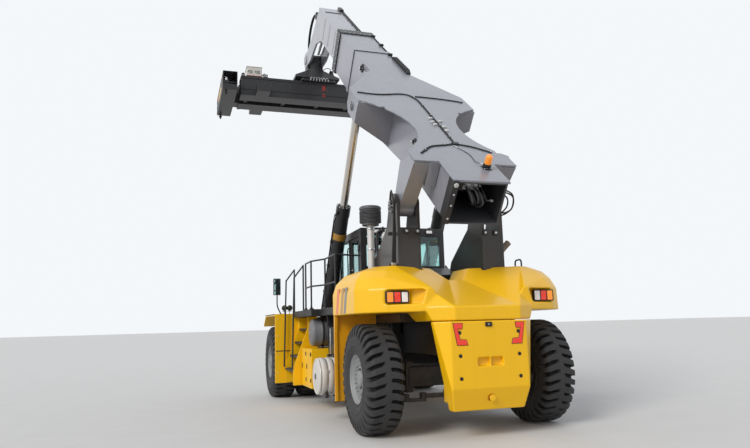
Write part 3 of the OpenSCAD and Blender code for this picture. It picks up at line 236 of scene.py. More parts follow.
class Effects:
    """The shader groups that the finishes share, each built once."""

    def __init__(self) -> None:
        """Builds the three groups."""
        self.patina = self.build_patina()
        self.grain = self.build_grain()
        self.tread = self.build_tread()

    def build_patina(self) -> bpy.types.NodeTree:
        """Uneven colour, rain streaks, rubbed edges, and dust that thickens near the ground and on upward faces.

        Returns:
            A group that gives the colour and the share of dust.
        """
        inputs = {
            "Colour": ("Color", (0.5, 0.5, 0.5, 1.0)), "Dust Colour": ("Color", (0.4, 0.36, 0.3, 1.0)),
            "Rubbed Colour": ("Color", (0.2, 0.2, 0.2, 1.0)), "Unevenness": ("Float", 0.1),
            "Patch Scale": ("Float", 1.5),
            "Streaks": ("Float", 0.1), "Dust": ("Float", 0.3), "Dust Height": ("Float", 1.8),
            "Rubbing": ("Float", 0.3),
            "Edge": ("Float", 0.0)}
        group, w, into, out = shader_group("patina", inputs, {"Colour": "Color", "Dust": "Float"})
        where = w.add("TexCoord").outputs["Object"]
        cloud = w.noise(where, into["Patch Scale"], 4.0)
        drawn = w.add("Mapping", {"Vector": where, "Scale": (9.0, 9.0, 0.5)}).outputs[0]
        streak = w.ramp(w.noise(drawn, 1.0, 3.0, 0.6), 0.45, 0.75)
        spread = w.math("MULTIPLY_ADD", w.math("SUBTRACT", cloud, 0.5), into["Unevenness"], 1.0)
        shade = w.math("SUBTRACT", spread, w.math("MULTIPLY", streak, into["Streaks"]))
        tinted = w.blend(
            1.0, into["Colour"], w.add("CombineColor", {0: shade, 1: shade, 2: shade}).outputs[0], "MULTIPLY")
        height = w.add("SeparateXYZ", {0: where}).outputs[2]
        facing = w.add("SeparateXYZ", {0: w.add("NewGeometry").outputs["Normal"]}).outputs[2]
        low = w.math("SUBTRACT", 1.0, w.math("DIVIDE", height, into["Dust Height"]))
        near = w.math("MAXIMUM", low, 0.12)
        lying = w.ramp(facing, 0.2, 0.95, 0.55, 1.0)
        grit = w.ramp(w.noise(where, 5.0, 6.0, 0.65), 0.3, 0.72, 0.25, 1.0)
        dusty = w.math("MULTIPLY", w.math("MULTIPLY", near, lying), w.math("MULTIPLY", grit, into["Dust"]))
        held = w.math("MINIMUM", dusty, 1.0)
        chips = w.ramp(w.noise(where, 14.0, 5.0, 0.7), 0.48, 0.62)
        rubbed = w.math("MULTIPLY", w.math("MULTIPLY", chips, into["Edge"]), into["Rubbing"])
        worn = w.blend(rubbed, tinted, into["Rubbed Colour"])
        w.tree.links.new(w.blend(held, worn, into["Dust Colour"]), out["Colour"])
        w.tree.links.new(held, out["Dust"])
        return group

    def build_grain(self) -> bpy.types.NodeTree:
        """A fine surface relief: a broad ripple with a small grain on it.

        Returns:
            A group that gives a height.
        """
        inputs = {
            "Ripple Scale": ("Float", 12.0), "Grain Scale": ("Float", 220.0), "Grain Share": ("Float", 0.4)}
        group, w, into, out = shader_group("grain", inputs, {"Height": "Float"})
        where = w.add("TexCoord").outputs["Object"]
        ripple = w.noise(where, into["Ripple Scale"], 2.0)
        grain = w.noise(where, into["Grain Scale"], 2.0)
        w.tree.links.new(w.math("MULTIPLY_ADD", grain, into["Grain Share"], ripple), out["Height"])
        return group

    def build_tread(self) -> bpy.types.NodeTree:
        """Raised bars crossing in turn, as rolled into walking plate, kept to upward faces.

        Returns:
            A group that gives a height.
        """
        group, w, into, out = shader_group("tread_bars", {"Pitch": ("Float", 0.06)}, {"Height": "Float"})
        where = w.add("TexCoord").outputs["Object"]
        cells = w.add("VectorMath", {0: where, 3: w.math("DIVIDE", 1.0, into["Pitch"])},
                      operation="SCALE").outputs[0]
        parts = w.add("SeparateXYZ", {0: cells}).outputs
        square = w.math(
            "FLOORED_MODULO", w.math("ADD", w.math("FLOOR", parts[0]), w.math("FLOOR", parts[1])), 2.0)
        u = w.math("ABSOLUTE", w.math("SUBTRACT", w.math("FRACT", parts[0]), 0.5))
        v = w.math("ABSOLUTE", w.math("SUBTRACT", w.math("FRACT", parts[1]), 0.5))
        long = w.math(
            "ADD", w.math("MULTIPLY", u, w.math("SUBTRACT", 1.0, square)), w.math("MULTIPLY", v, square))
        wide = w.math(
            "ADD", w.math("MULTIPLY", v, w.math("SUBTRACT", 1.0, square)), w.math("MULTIPLY", u, square))
        bar = w.math("MULTIPLY", w.ramp(long, 0.34, 0.44, 1.0, 0.0), w.ramp(wide, 0.08, 0.16, 1.0, 0.0))
        facing = w.add("SeparateXYZ", {0: w.add("NewGeometry").outputs["Normal"]}).outputs[2]
        w.tree.links.new(w.math("MULTIPLY", bar, w.ramp(facing, 0.7, 0.9)), out["Height"])
        return group


@dataclass(frozen=True)
class Finish:
    """One finish of the machine, with the values that its shader takes."""

    name: str
    slot: str
    colour: tuple[float, float, float]
    rough: float = 0.5
    shine: float = 0.5
    metal: float = 0.0
    coat: float = 0.0
    coat_rough: float = 0.15
    uneven: float = 0.12
    patch: float = 1.5
    streaks: float = 0.05
    dust: float = 0.3
    dust_colour: tuple[float, float, float] = (0.34, 0.31, 0.27)
    dust_height: float = 1.9
    rubbing: float = 0.3
    rubbed: tuple[float, float, float] = (0.12, 0.11, 0.1)
    ripple: float = 9.0
    grain: float = 260.0
    relief: float = 0.02
    glass: float = 0.0
    glow: float = 0.0
    walking: bool = False
    # Share by which the colour darkens in hollows that the point attribute marks: painted shade in grooves.
    deep: float = 0.0
    brushed: bool = False

    def material(self, effects: Effects) -> bpy.types.Material:
        """Wires the patina, the grain and the shader together.

        Args:
            effects: the shared shader groups.

        Returns:
            The finished material, made once and kept by name.
        """
        known = bpy.data.materials.get(self.name)
        if known:
            return known
        made = bpy.data.materials.new(self.name)
        made.use_nodes = True
        made.node_tree.nodes.clear()
        w = Wiring(made.node_tree)
        shader = w.add(
            "BsdfPrincipled", {"Metallic": self.metal, "Coat Weight": self.coat,
                               "Coat Roughness": self.coat_rough})
        shader.inputs["Specular IOR Level"].default_value = self.shine
        edge = w.add("Attribute", attribute_name="edge").outputs["Fac"]
        patina = w.add("Group", node_tree=effects.patina)
        values = {
            "Colour": (*self.colour, 1.0), "Dust Colour": (*self.dust_colour, 1.0),
            "Rubbed Colour": (*self.rubbed, 1.0),
            "Unevenness": self.uneven, "Patch Scale": self.patch, "Streaks": self.streaks, "Dust": self.dust,
            "Dust Height": self.dust_height, "Rubbing": self.rubbing}
        for label, value in values.items():
            patina.inputs[label].default_value = value
        made.node_tree.links.new(edge, patina.inputs["Edge"])
        colour = patina.outputs["Colour"]
        # Painted shade: the colour darkens in the hollows that the point attribute marks, such as the tyre's
        # grooves.
        if self.deep:
            groove_shade_mask = w.add("Attribute", attribute_name="hollow_shade").outputs["Fac"]
            groove_shade_colour = tuple(c * (1.0 - self.deep) for c in self.colour)
            colour = w.blend(groove_shade_mask, colour, (*groove_shade_colour, 1.0))
        made.node_tree.links.new(colour, shader.inputs["Base Color"])
        where = w.add("TexCoord").outputs["Object"]
        patchy = w.math("MULTIPLY_ADD", w.math("SUBTRACT", w.noise(where, 3.0, 4.0), 0.5), 0.16, self.rough)
        rough = w.math("MULTIPLY_ADD", patina.outputs["Dust"], max(0.0, DUSTY_ROUGH - self.rough), patchy)
        made.node_tree.links.new(rough, shader.inputs["Roughness"])
        grain = w.add("Group", node_tree=effects.grain)
        grain.inputs["Ripple Scale"].default_value = self.ripple
        grain.inputs["Grain Scale"].default_value = self.grain
        height = grain.outputs["Height"]
        if self.brushed:
            drawn = w.add("Mapping", {"Vector": where, "Scale": (400.0, 400.0, 6.0)}).outputs[0]
            height = w.noise(drawn, 1.0, 2.0)
        bump = w.add("Bump", {"Strength": self.relief * 10.0, "Distance": 0.002, "Height": height})
        if self.walking:
            tread = w.add("Group", node_tree=effects.tread)
            bump = w.add(
                "Bump", {"Strength": 0.9, "Distance": 0.004, "Height": tread.outputs[0],
                         "Normal": bump.outputs[0]})
        made.node_tree.links.new(bump.outputs[0], shader.inputs["Normal"])
        if self.glass:
            shader.inputs["Transmission Weight"].default_value = self.glass
            shader.inputs["IOR"].default_value = GLASS_IOR
        if self.glow:
            made.node_tree.links.new(colour, shader.inputs["Emission Color"])
            shader.inputs["Emission Strength"].default_value = self.glow
        leave = w.add("OutputMaterial")
        made.node_tree.links.new(shader.outputs[0], leave.inputs[0])
        return made


class Finishes:
    """Every finish of the machine, by a plain name."""

    yellow = Finish(
        "yellow_enamel", "body_paint", (0.87, 0.485, 0.003), rough=0.36, shine=0.3, coat=0.22, coat_rough=0.12,
        uneven=0.08, streaks=0.02, dust=0.05, dust_height=1.0, dust_colour=(0.55, 0.42, 0.22), rubbing=0.25,
        rubbed=(0.45, 0.27, 0.05), relief=0.01)
    # A darker, more orange copy of the yellow enamel, with more dust: its darker colour is painted shade on the
    # rear mudguards.
    shaded_dusty_yellow = Finish(
        "yellow_enamel_shaded_dusty", "body_paint", (0.74, 0.34, 0.006), rough=0.45, shine=0.3, coat=0.1, uneven=0.2,
        streaks=0.1, dust=0.22, dust_height=1.6, dust_colour=(0.36, 0.27, 0.16), rubbing=0.5,
        rubbed=(0.3, 0.2, 0.08), relief=0.014)
    black = Finish(
        "chassis_black", "frame_paint", (0.02, 0.02, 0.022), rough=0.42, shine=0.4, coat=0.12, uneven=0.3,
        streaks=0.1, dust=0.09, rubbing=0.5, rubbed=(0.1, 0.095, 0.09), relief=0.02)
    tower_black = Finish(
        "tower_black", "frame_paint", (0.03, 0.024, 0.02), rough=0.38, shine=0.45, coat=0.2, uneven=0.3,
        streaks=0.12, dust=0.1, dust_height=4.0, rubbing=0.5, rubbed=(0.12, 0.1, 0.09), relief=0.018)
    walk = Finish(
        "walking_plate", "frame_paint", (0.016, 0.016, 0.017), rough=0.5, shine=0.4, dust=0.2, walking=True,
        rubbing=0.7, rubbed=(0.16, 0.155, 0.15))
    cast = Finish(
        "cast_iron_black", "cast_dark", (0.018, 0.018, 0.019), rough=0.6, shine=0.35, dust=0.3, uneven=0.4,
        ripple=30.0, relief=0.06, rubbing=0.5)
    rim = Finish(
        "rim_grey", "cast_dark", (0.24, 0.245, 0.25), rough=0.5, dust=0.22, uneven=0.25, ripple=24.0,
        relief=0.03, rubbing=0.4)
    boom_grey = Finish(
        "boom_grey", "boom_paint", (0.255, 0.26, 0.295), rough=0.34, coat=0.35, coat_rough=0.2, uneven=0.12,
        patch=0.7, streaks=0.07, dust=0.1, dust_height=4.0, dust_colour=(0.3, 0.29, 0.29), rubbing=0.35,
        rubbed=(0.09, 0.09, 0.1), relief=0.014)
    # Near-black grey: painted shade on the boom's foot and on the yoke legs' inward faces. The yoke's pin caps
    # take it as their own colour.
    foot_shade_and_cap_grey = Finish(
        "boom_foot_painted_shade_and_cap_grey", "boom_paint", (0.05, 0.051, 0.057), rough=0.5, coat=0.12, coat_rough=0.3, uneven=0.15,
        patch=0.9, streaks=0.08, dust=0.08, dust_height=4.0, rubbing=0.4, rubbed=(0.05, 0.05, 0.05),
        relief=0.014)
    boom_light = Finish(
        "inner_boom_grey", "boom_light_paint", (0.345, 0.35, 0.385), rough=0.36, coat=0.4, coat_rough=0.18,
        uneven=0.12, patch=0.6, streaks=0.12, dust=0.06, dust_height=4.0, rubbing=0.4,
        rubbed=(0.12, 0.12, 0.12), relief=0.014)
    # Near black for the faces inside the booms: painted shade where little light reaches.
    inside = Finish(
        "boom_inside_painted_shade", "frame_paint", (0.03, 0.03, 0.034), rough=0.7, shine=0.2, dust=0.03, rubbing=0.2,
        relief=0.03)
    # The rubber's grooves are darkened by painted shade through deep.
    rubber = Finish(
        "tread_rubber", "tyre_rubber", (0.03, 0.03, 0.032), rough=0.7, shine=0.35, dust=0.45, dust_height=1.6,
        dust_colour=(0.115, 0.108, 0.1), uneven=0.35, patch=4.0, streaks=0.0, rubbing=0.0, ripple=40.0,
        relief=0.05, deep=0.82)
    chrome = Finish(
        "chromed_steel", "chrome_rod", (0.7, 0.655, 0.6), rough=0.2, metal=1.0, uneven=0.08, streaks=0.0,
        dust=0.05, rubbing=0.0, relief=0.004)
    steel = Finish(
        "bare_steel", "bare_steel", (0.5, 0.5, 0.49), rough=0.34, metal=1.0, uneven=0.2, dust=0.1, rubbing=0.0,
        relief=0.02, brushed=True)
    galvanised = Finish(
        "dull_aluminium", "bare_steel", (0.6, 0.59, 0.58), rough=0.4, metal=0.25, uneven=0.22, patch=5.0,
        dust=0.15,
        rubbing=0.2, relief=0.03)
    glass = Finish(
        "tinted_glass", "window_glass", (0.6, 0.86, 0.84), rough=0.02, glass=1.0, uneven=0.0, streaks=0.0,
        dust=0.02, rubbing=0.0, relief=0.001)
    plastic = Finish(
        "moulded_black", "dark_plastic", (0.012, 0.012, 0.013), rough=0.55, shine=0.4, dust=0.08, rubbing=0.0,
        grain=500.0, relief=0.04)
    grey_plastic = Finish(
        "precleaner_grey", "dark_plastic", (0.105, 0.106, 0.114), rough=0.5, shine=0.4, dust=0.1, rubbing=0.1,
        grain=400.0, relief=0.03)
    hose = Finish(
        "hose_rubber", "dark_plastic", (0.012, 0.012, 0.013), rough=0.45, shine=0.45, dust=0.05, rubbing=0.0,
        ripple=60.0, relief=0.03)
    fabric = Finish(
        "seat_cloth", "seat_fabric", (0.03, 0.032, 0.036), rough=0.9, shine=0.2, dust=0.05, rubbing=0.0,
        ripple=300.0, grain=900.0, relief=0.08)
    piping = Finish(
        "seat_piping", "seat_fabric", (0.012, 0.012, 0.013), rough=0.6, dust=0.05, rubbing=0.0, relief=0.04)
    amber = Finish(
        "amber_lens", "lamp_lens", (0.9, 0.28, 0.02), rough=0.12, coat=0.5, dust=0.03, rubbing=0.0, glow=0.25,
        streaks=0.0)
    red = Finish(
        "red_lens", "lamp_lens", (0.72, 0.03, 0.01), rough=0.12, coat=0.5, dust=0.03, rubbing=0.0, glow=0.22,
        streaks=0.0)
    clear = Finish(
        "clear_lens", "lamp_lens", (0.8, 0.79, 0.78), rough=0.1, coat=0.6, dust=0.03, rubbing=0.0, glow=0.12,
        streaks=0.0)
    band = Finish(
        "amber_band", "body_paint", (0.4, 0.2, 0.02), rough=0.4, coat=0.3, dust=0.1, rubbing=0.1)
    box_white = Finish(
        "cabinet_white", "cabinet_paint", (0.6, 0.575, 0.53), rough=0.4, coat=0.2, dust=0.12, streaks=0.12,
        rubbing=0.3)
    white = Finish(
        "clip_white", "dark_plastic", (0.62, 0.62, 0.6), rough=0.5, dust=0.1, rubbing=0.2)
    mark = Finish(
        "red_mark", "frame_paint", (0.28, 0.016, 0.016), rough=0.5, dust=0.15, rubbing=0.4)
    drum = Finish(
        "drum_grey", "frame_paint", (0.135, 0.137, 0.145), rough=0.42, coat=0.15, dust=0.25)
    stripe = Finish(
        "orange_stripe", "body_paint", (0.75, 0.16, 0.05), rough=0.4, coat=0.2, dust=0.1, rubbing=0.2)
    teal = Finish(
        "mirror_glass", "window_glass", (0.3, 0.44, 0.44), rough=0.05, metal=1.0, uneven=0.0, dust=0.02,
        rubbing=0.0,
        relief=0.001)
    burnt = Finish(
        "burnt_steel", "exhaust_steel", (0.22, 0.165, 0.115), rough=0.6, metal=0.4, uneven=0.6, patch=9.0,
        dust=0.1,
        rubbing=0.0, ripple=30.0, relief=0.05)


class Paint(IntEnum):
    """The finish that a face of a detail takes, in the order of KIT."""

    BLACK = 0
    STEEL = 1
    HOSE = 2
    PLASTIC = 3
    YELLOW = 4
    WHITE = 5
    AMBER = 6
    RED = 7
    CLEAR = 8
    ALUMINIUM = 9
    GREY = 10
    CHROME = 11
    TEAL = 12
    FABRIC = 13
    PIPING = 14
    RIM = 15
    BAND = 16
    BURNT = 17
    CABINET = 18
    TREAD = 19
    LIGHT = 20
    FOOT = 21
    MARK = 22
    STRIPE = 23
    DRUM = 24


(
    BLACK, STEEL, HOSE, PLASTIC, YELLOW, WHITE, AMBER, RED, CLEAR, ALUMINIUM, GREY, CHROME, TEAL,
    FABRIC, PIPING, RIM, BAND, BURNT, CABINET, TREAD, LIGHT, FOOT, MARK, STRIPE, DRUM
) = Paint

KIT = (
    Finishes.black, Finishes.steel, Finishes.hose, Finishes.plastic, Finishes.yellow, Finishes.white,
    Finishes.amber, Finishes.red, Finishes.clear, Finishes.galvanised, Finishes.grey_plastic, Finishes.chrome,
    Finishes.teal, Finishes.fabric, Finishes.piping, Finishes.rim, Finishes.band, Finishes.burnt,
    Finishes.box_white, Finishes.walk, Finishes.boom_light, Finishes.foot_shade_and_cap_grey, Finishes.mark, Finishes.stripe,
    Finishes.drum)


# Mesh building

SIGNS = np.array([[x, y, z] for x in (-1, 1) for y in (-1, 1) for z in (-1, 1)], float)
CORNER = {tuple(s): i for i, s in enumerate(SIGNS.astype(int).tolist())}


def slab_faces() -> list[list[int]]:
    """Returns the 26 faces of a chamfered box whose corner c has its three points at 3c, 3c + 1 and 3c + 2."""
    faces = [[3 * c, 3 * c + 1, 3 * c + 2] for c in range(8)]
    for axis in range(3):
        others = [a for a in range(3) if a != axis]
        for sign in (-1, 1):
            ring = []
            for s, t in ((-1, -1), (-1, 1), (1, 1), (1, -1)):
                key = [0, 0, 0]
                key[axis], key[others[0]], key[others[1]] = sign, s, t
                ring.append(3 * CORNER[tuple(key)] + axis)
            faces.append(ring)
        for s in (-1, 1):
            for t in (-1, 1):
                ends = []
                for sign in (-1, 1):
                    key = [0, 0, 0]
                    key[axis], key[others[0]], key[others[1]] = sign, s, t
                    ends.append(CORNER[tuple(key)])
                a, b = others
                faces.append([3 * ends[0] + a, 3 * ends[1] + a, 3 * ends[1] + b, 3 * ends[0] + b])
    return faces


SLAB = slab_faces()


def inset(outline: np.ndarray, depth: float) -> np.ndarray:
    """Moves every side of a closed outline inwards.

    Each corner goes along the sum of its two sides' normals over one plus their dot product, times the depth.

    Args:
        outline: corners in order, one row each.
        depth: how far a side moves.

    Returns:
        The smaller outline.
    """
    side = unit(np.roll(outline, -1, 0) - outline)
    normal = np.stack([-side[:, 1], side[:, 0]], axis=1)
    before = np.roll(normal, 1, 0)
    turn = np.sum(outline[:, 0] * np.roll(outline[:, 1], -1) - np.roll(outline[:, 0], -1) * outline[:, 1])
    mitre = (normal + before) / np.maximum(1.0 + np.sum(normal * before, axis=1), 0.25)[:, None]
    return outline + mitre * depth * math.copysign(1.0, turn)


def bend(corners: Iterable[Sequence[float]], radius: float, steps: int = 6) -> np.ndarray:
    """Rounds the corners of a polyline.

    A corner becomes a parabola between the points a radius short of it on either side.

    Args:
        corners: the polyline's points.
        radius: how far from a corner its round starts.
        steps: points on each round.

    Returns:
        The path's points, one row each.
    """
    p = np.asarray(list(corners), float)
    path = [p[:1]]
    t = np.linspace(0.0, 1.0, steps)[:, None]
    for a, b, c in zip(p[:-2], p[1:-1], p[2:]):
        r = min(radius, 0.48 * np.linalg.norm(b - a), 0.48 * np.linalg.norm(c - b))
        start, end = b + unit(a - b) * r, b + unit(c - b) * r
        path.append((1 - t) ** 2 * start + 2 * t * (1 - t) * b + t**2 * end)
    path.append(p[-1:])
    return np.concatenate(path)


def curve(points: Iterable[Sequence[float]], steps: int = 8) -> np.ndarray:
    """Carries a smooth curve through the points, with slopes that come from each point's neighbours.

    Args:
        points: where the curve passes.
        steps: points on each piece.

    Returns:
        The curve's points, one row each.
    """
    p = np.asarray(list(points), float)
    slope = np.gradient(p, axis=0)
    t = np.linspace(0.0, 1.0, steps, endpoint=False)[None, :, None]
    a, b, m, n = p[:-1, None], p[1:, None], slope[:-1, None], slope[1:, None]
    leaving = (2 * t**3 - 3 * t**2 + 1) * a + (t**3 - 2 * t**2 + t) * m
    body = leaving + (3 * t**2 - 2 * t**3) * b + (t**3 - t**2) * n
    return np.concatenate([body.reshape(-1, p.shape[1]), p[-1:]])


def signed_power(value: np.ndarray, exponent: float) -> np.ndarray:
    """Returns the size of a value raised to a power, with the value's sign."""
    return np.sign(value) * np.abs(value) ** exponent


def rod(radius: float, length: float) -> list[tuple[float, float]]:
    """Returns the profile of a plain round bar."""
    return [(0, 0), (radius, 0), (radius, length), (0, length)]


def across(axis: Sequence[float]) -> tuple[np.ndarray, np.ndarray, np.ndarray]:
    """Returns the axis at length one and two directions square to it and to each other."""
    n = unit(axis)
    u = unit(np.cross(n, (0.0, 0.0, 1.0) if abs(n[2]) < 0.9 else (1.0, 0.0, 0.0)))
    return n, u, np.cross(n, u)


class Piece:
    """Patches of points and faces in one station's frame, which become one visible mesh."""

    def __init__(self, name: str, body: str, station: Station = MACHINE) -> None:
        """Starts an empty piece that will ride on a body."""
        self.name, self.body, self.station = name, body, station
        self.points: list[np.ndarray] = []
        self.hollow_shades: list[np.ndarray] = []
        self.faces: list[list[int]] = []
        self.paints: list[int] = []
        self.count = 0

    def patch(self, points: np.ndarray, faces: list[list[int]], paint: int = BLACK, hollow_shade: object = 0.0) -> None:
        """Adds points and the faces between them.

        Args:
            points: an array whose last axis is x, y, z.
            faces: lists of indices into these points.
            paint: which of the piece's finishes the faces take.
            hollow_shade: painted shade in hollows, a value at each point or one for all, that the shader reads.
        """
        flat = np.asarray(points, float).reshape(-1, 3)
        self.faces += [[i + self.count for i in face] for face in faces]
        self.paints += [paint] * len(faces)
        self.points.append(flat)
        self.hollow_shades.append(np.broadcast_to(np.asarray(hollow_shade, float), points.shape[:-1]).reshape(-1))
        self.count += len(flat)

    def grid(
        self, points: np.ndarray, paint: int = BLACK, around: bool = False, along: bool = False,
        ends: bool = False,
        hollow_shade: object = 0.0,
    ) -> None:
        """Adds a sheet of four-sided faces over rows and columns of points.

        Args:
            points: rows by columns by 3.
            paint: which finish it takes.
            around: whether the last column joins the first.
            along: whether the last row joins the first.
            ends: whether one face closes the first row and one the last.
            hollow_shade: the painted shade in hollows that the shader reads.
        """
        rows, columns = points.shape[:2]
        index = np.arange(rows * columns).reshape(rows, columns)
        if around:
            index = np.concatenate([index, index[:, :1]], axis=1)
        if along:
            index = np.concatenate([index, index[:1]], axis=0)
        quads = np.stack([index[:-1, :-1], index[:-1, 1:], index[1:, 1:], index[1:, :-1]], axis=-1)
        faces = quads.reshape(-1, 4).tolist()
        if ends:
            faces += [list(range(columns)), list(range((rows - 1) * columns, rows * columns))]
        self.patch(points, faces, paint, hollow_shade)

    def tube(self, path: np.ndarray, radius: object, paint: int = BLACK, sides: int = 10) -> None:
        """Carries a circle along a path.

        The circle lies square to the path's slope, turned from the direction most nearly square to all of it.

        Args:
            path: points along the middle.
            radius: one radius, or one at each point.
            paint: which finish it takes.
            sides: points round the circle.
        """
        p = np.asarray(path, float)
        keep = np.concatenate([[True], np.linalg.norm(np.diff(p, axis=0), axis=1) > 1e-6])
        p = p[keep]
        slope = unit(np.gradient(p, axis=0))
        plane = np.linalg.svd(slope)[2][-1]
        out = unit(np.cross(slope, plane))
        up = np.cross(out, slope)
        a = np.linspace(0.0, 2 * math.pi, sides, endpoint=False)
        r = np.broadcast_to(np.asarray(radius, float), keep.shape)[keep][:, None, None]
        ring = out[:, None] * np.cos(a)[None, :, None] + up[:, None] * np.sin(a)[None, :, None]
        self.grid(p[:, None] + r * ring, paint, around=True, ends=True)

    def turn(
        self, profile: Sequence[Sequence[float]], centre: Sequence[float], axis: Sequence[float],
        paint: int = BLACK,
        sides: int = 40, closed: bool = False,
    ) -> None:
        """Turns a profile about an axis.

        Args:
            profile: (distance from the axis, distance along it) pairs.
            centre: where the axis starts.
            axis: its direction.
            paint: which finish it takes.
            sides: points round the axis.
            closed: whether the profile's end joins its start.
        """
        n, u, v = across(axis)
        r, h = np.asarray(profile, float).T[:, :, None, None]
        a = np.linspace(0.0, 2 * math.pi, sides, endpoint=False)[None, :, None]
        self.grid(
            np.asarray(centre) + h * n + r * (np.cos(a) * u + np.sin(a) * v), paint, True, closed, not closed)

    def slabs(self, low: object, high: object, edge: float = 0.004, paint: int = BLACK) -> None:
        """Adds boxes with chamfered edges.

        Each corner gives three points, each short of the corner by the chamfer along two of the axes.

        Args:
            low: lowest corner, or one row for each box.
            high: highest corner, or one row for each box.
            edge: the chamfer.
            paint: which finish they take.
        """
        low, high = np.atleast_2d(np.asarray(low, float)), np.atleast_2d(np.asarray(high, float))
        low, high = np.broadcast_arrays(low, high)
        middle, half = (low + high) / 2, np.abs(high - low) / 2
        cut = np.minimum(edge, 0.45 * half.min(axis=1))[:, None, None, None] * (1 - np.eye(3))[None, None]
        points = middle[:, None, None] + SIGNS[None, :, None] * (half[:, None, None] - cut)
        for box in points:
            self.patch(box, SLAB, paint)

    def block(
        self, centre: Sequence[float], along: Sequence[float], up: Sequence[float], size: Sequence[float],
        edge: float = 0.003, paint: int = BLACK,
    ) -> None:
        """Adds a chamfered box that lies along a direction.

        Args:
            centre: its middle.
            along: the direction of its first side.
            up: a direction that its third side leans to.
            size: its three sides.
            edge: the chamfer.
            paint: which finish it takes.
        """
        x = unit(along)
        z = unit(np.asarray(up, float) - np.dot(up, x) * x)
        half = np.asarray(size, float) / 2
        cut = min(edge, 0.45 * half.min()) * (1 - np.eye(3))
        turned = np.stack([x, np.cross(z, x), z])
        self.patch(np.asarray(centre, float) + (SIGNS[:, None] * (half - cut)) @ turned, SLAB, paint)

    def saddles(
        self, path: np.ndarray, gap: float, size: Sequence[float], up: Sequence[float] = UP,
        drop: float = 0.0, paint: int = BLACK, cap: int = STEEL,
    ) -> None:
        """Adds clips along a path, each a box with a bolt on it.

        Args:
            path: the line that they hold.
            gap: about how far apart they stand.
            size: of a clip.
            up: the way that its bolt points.
            drop: how far its middle lies under the path.
            paint: the clip's finish.
            cap: the bolt's finish.
        """
        way = np.concatenate([[0.0], np.cumsum(np.linalg.norm(np.diff(path, axis=0), axis=1))])
        count = max(2, round(way[-1] / gap) + 1)
        marks = np.linspace(0.04 * way[-1], 0.96 * way[-1], count)
        spots = np.stack([np.interp(marks, way, path[:, i]) for i in range(3)], axis=1)
        beyond = np.stack([np.interp(marks + 0.01, way, path[:, i]) for i in range(3)], axis=1)
        before = np.stack([np.interp(marks - 0.01, way, path[:, i]) for i in range(3)], axis=1)
        for spot, slope in zip(spots, beyond - before):
            middle = spot - drop * unit(up)
            self.block(middle, slope, up, size, 0.003, paint)
            self.bolts([middle + unit(up) * size[2] / 2], up, 0.01, 0.007, cap)

    def hose(self, path: np.ndarray, radius: float, paint: int = HOSE, cuff: int = STEEL,
             sides: int = 10) -> None:
        """Adds a hose with a crimped cuff and a nut at each end."""
        self.tube(path, radius, paint, sides)
        for end, beyond in ((path[0], path[1]), (path[-1], path[-2])):
            r = radius
            self.turn(
                [(0, -0.012), (1.25 * r, -0.012), (1.25 * r, 0.01), (1.5 * r, 0.014), (1.5 * r, 0.034),
                 (1.35 * r, 0.038), (1.5 * r, 0.042), (1.5 * r, 0.06), (1.02 * r, 0.066), (0, 0.066)],
                end, beyond - end, cuff, sides=12)

    def plate(
        self, outline: Sequence[Sequence[float]], low: float, high: float, thick: int = 1, edge: float = 0.003,
        paint: int = BLACK,
    ) -> None:
        """Gives a flat outline a thickness, with both its rims chamfered.

        Args:
            outline: its corners, in the two axes left when thick is taken out.
            low: where it starts along the thick axis.
            high: where it ends.
            thick: the number of the thick axis.
            edge: the chamfer.
            paint: which finish it takes.
        """
        flat = np.asarray(outline, float)
        cut = min(edge, 0.4 * abs(high - low))
        small = inset(flat, cut)
        levels = (low, low + cut, high - cut, high)
        rings = [
            np.insert(ring, thick, level, axis=1) for ring, level in zip((small, flat, flat, small), levels)]
        self.grid(np.stack(rings), paint, around=True, ends=True)

    def bolts(self, centres: object, axis: Sequence[float], radius: float, height: float,
              paint: int = BLACK) -> None:
        """Adds a hexagon head with a chamfered top at each centre.

        Args:
            centres: one row for each head.
            axis: the way they point.
            radius: over the corners.
            height: of the head.
            paint: which finish they take.
        """
        n, u, v = across(axis)
        a = (np.arange(6) * math.pi / 3)[:, None]
        ring = np.cos(a) * u + np.sin(a) * v
        shape = np.stack([ring * radius, ring * radius + n * height * 0.75, ring * radius * 0.8 + n * height])
        for centre in np.atleast_2d(np.asarray(centres, float)):
            self.grid(centre + shape, paint, around=True, ends=True)

    def ring_of(self, count: int, radius: float, centre: Sequence[float], axis: Sequence[float]) -> np.ndarray:
        """Returns points evenly spaced round a circle."""
        _, u, v = across(axis)
        a = (np.arange(count) * 2 * math.pi / count)[:, None]
        return np.asarray(centre) + radius * (np.cos(a) * u + np.sin(a) * v)

    def mirror(self) -> None:
        """Adds the other hand of all that the piece holds so far: every point with y turned round."""
        faces, paints, count = list(self.faces), list(self.paints), self.count
        self.points.append(np.concatenate(self.points) * np.array([1.0, -1.0, 1.0]))
        self.hollow_shades.append(np.concatenate(self.hollow_shades))
        self.faces += [[i + count for i in face] for face in faces]
        self.paints += paints
        self.count *= 2

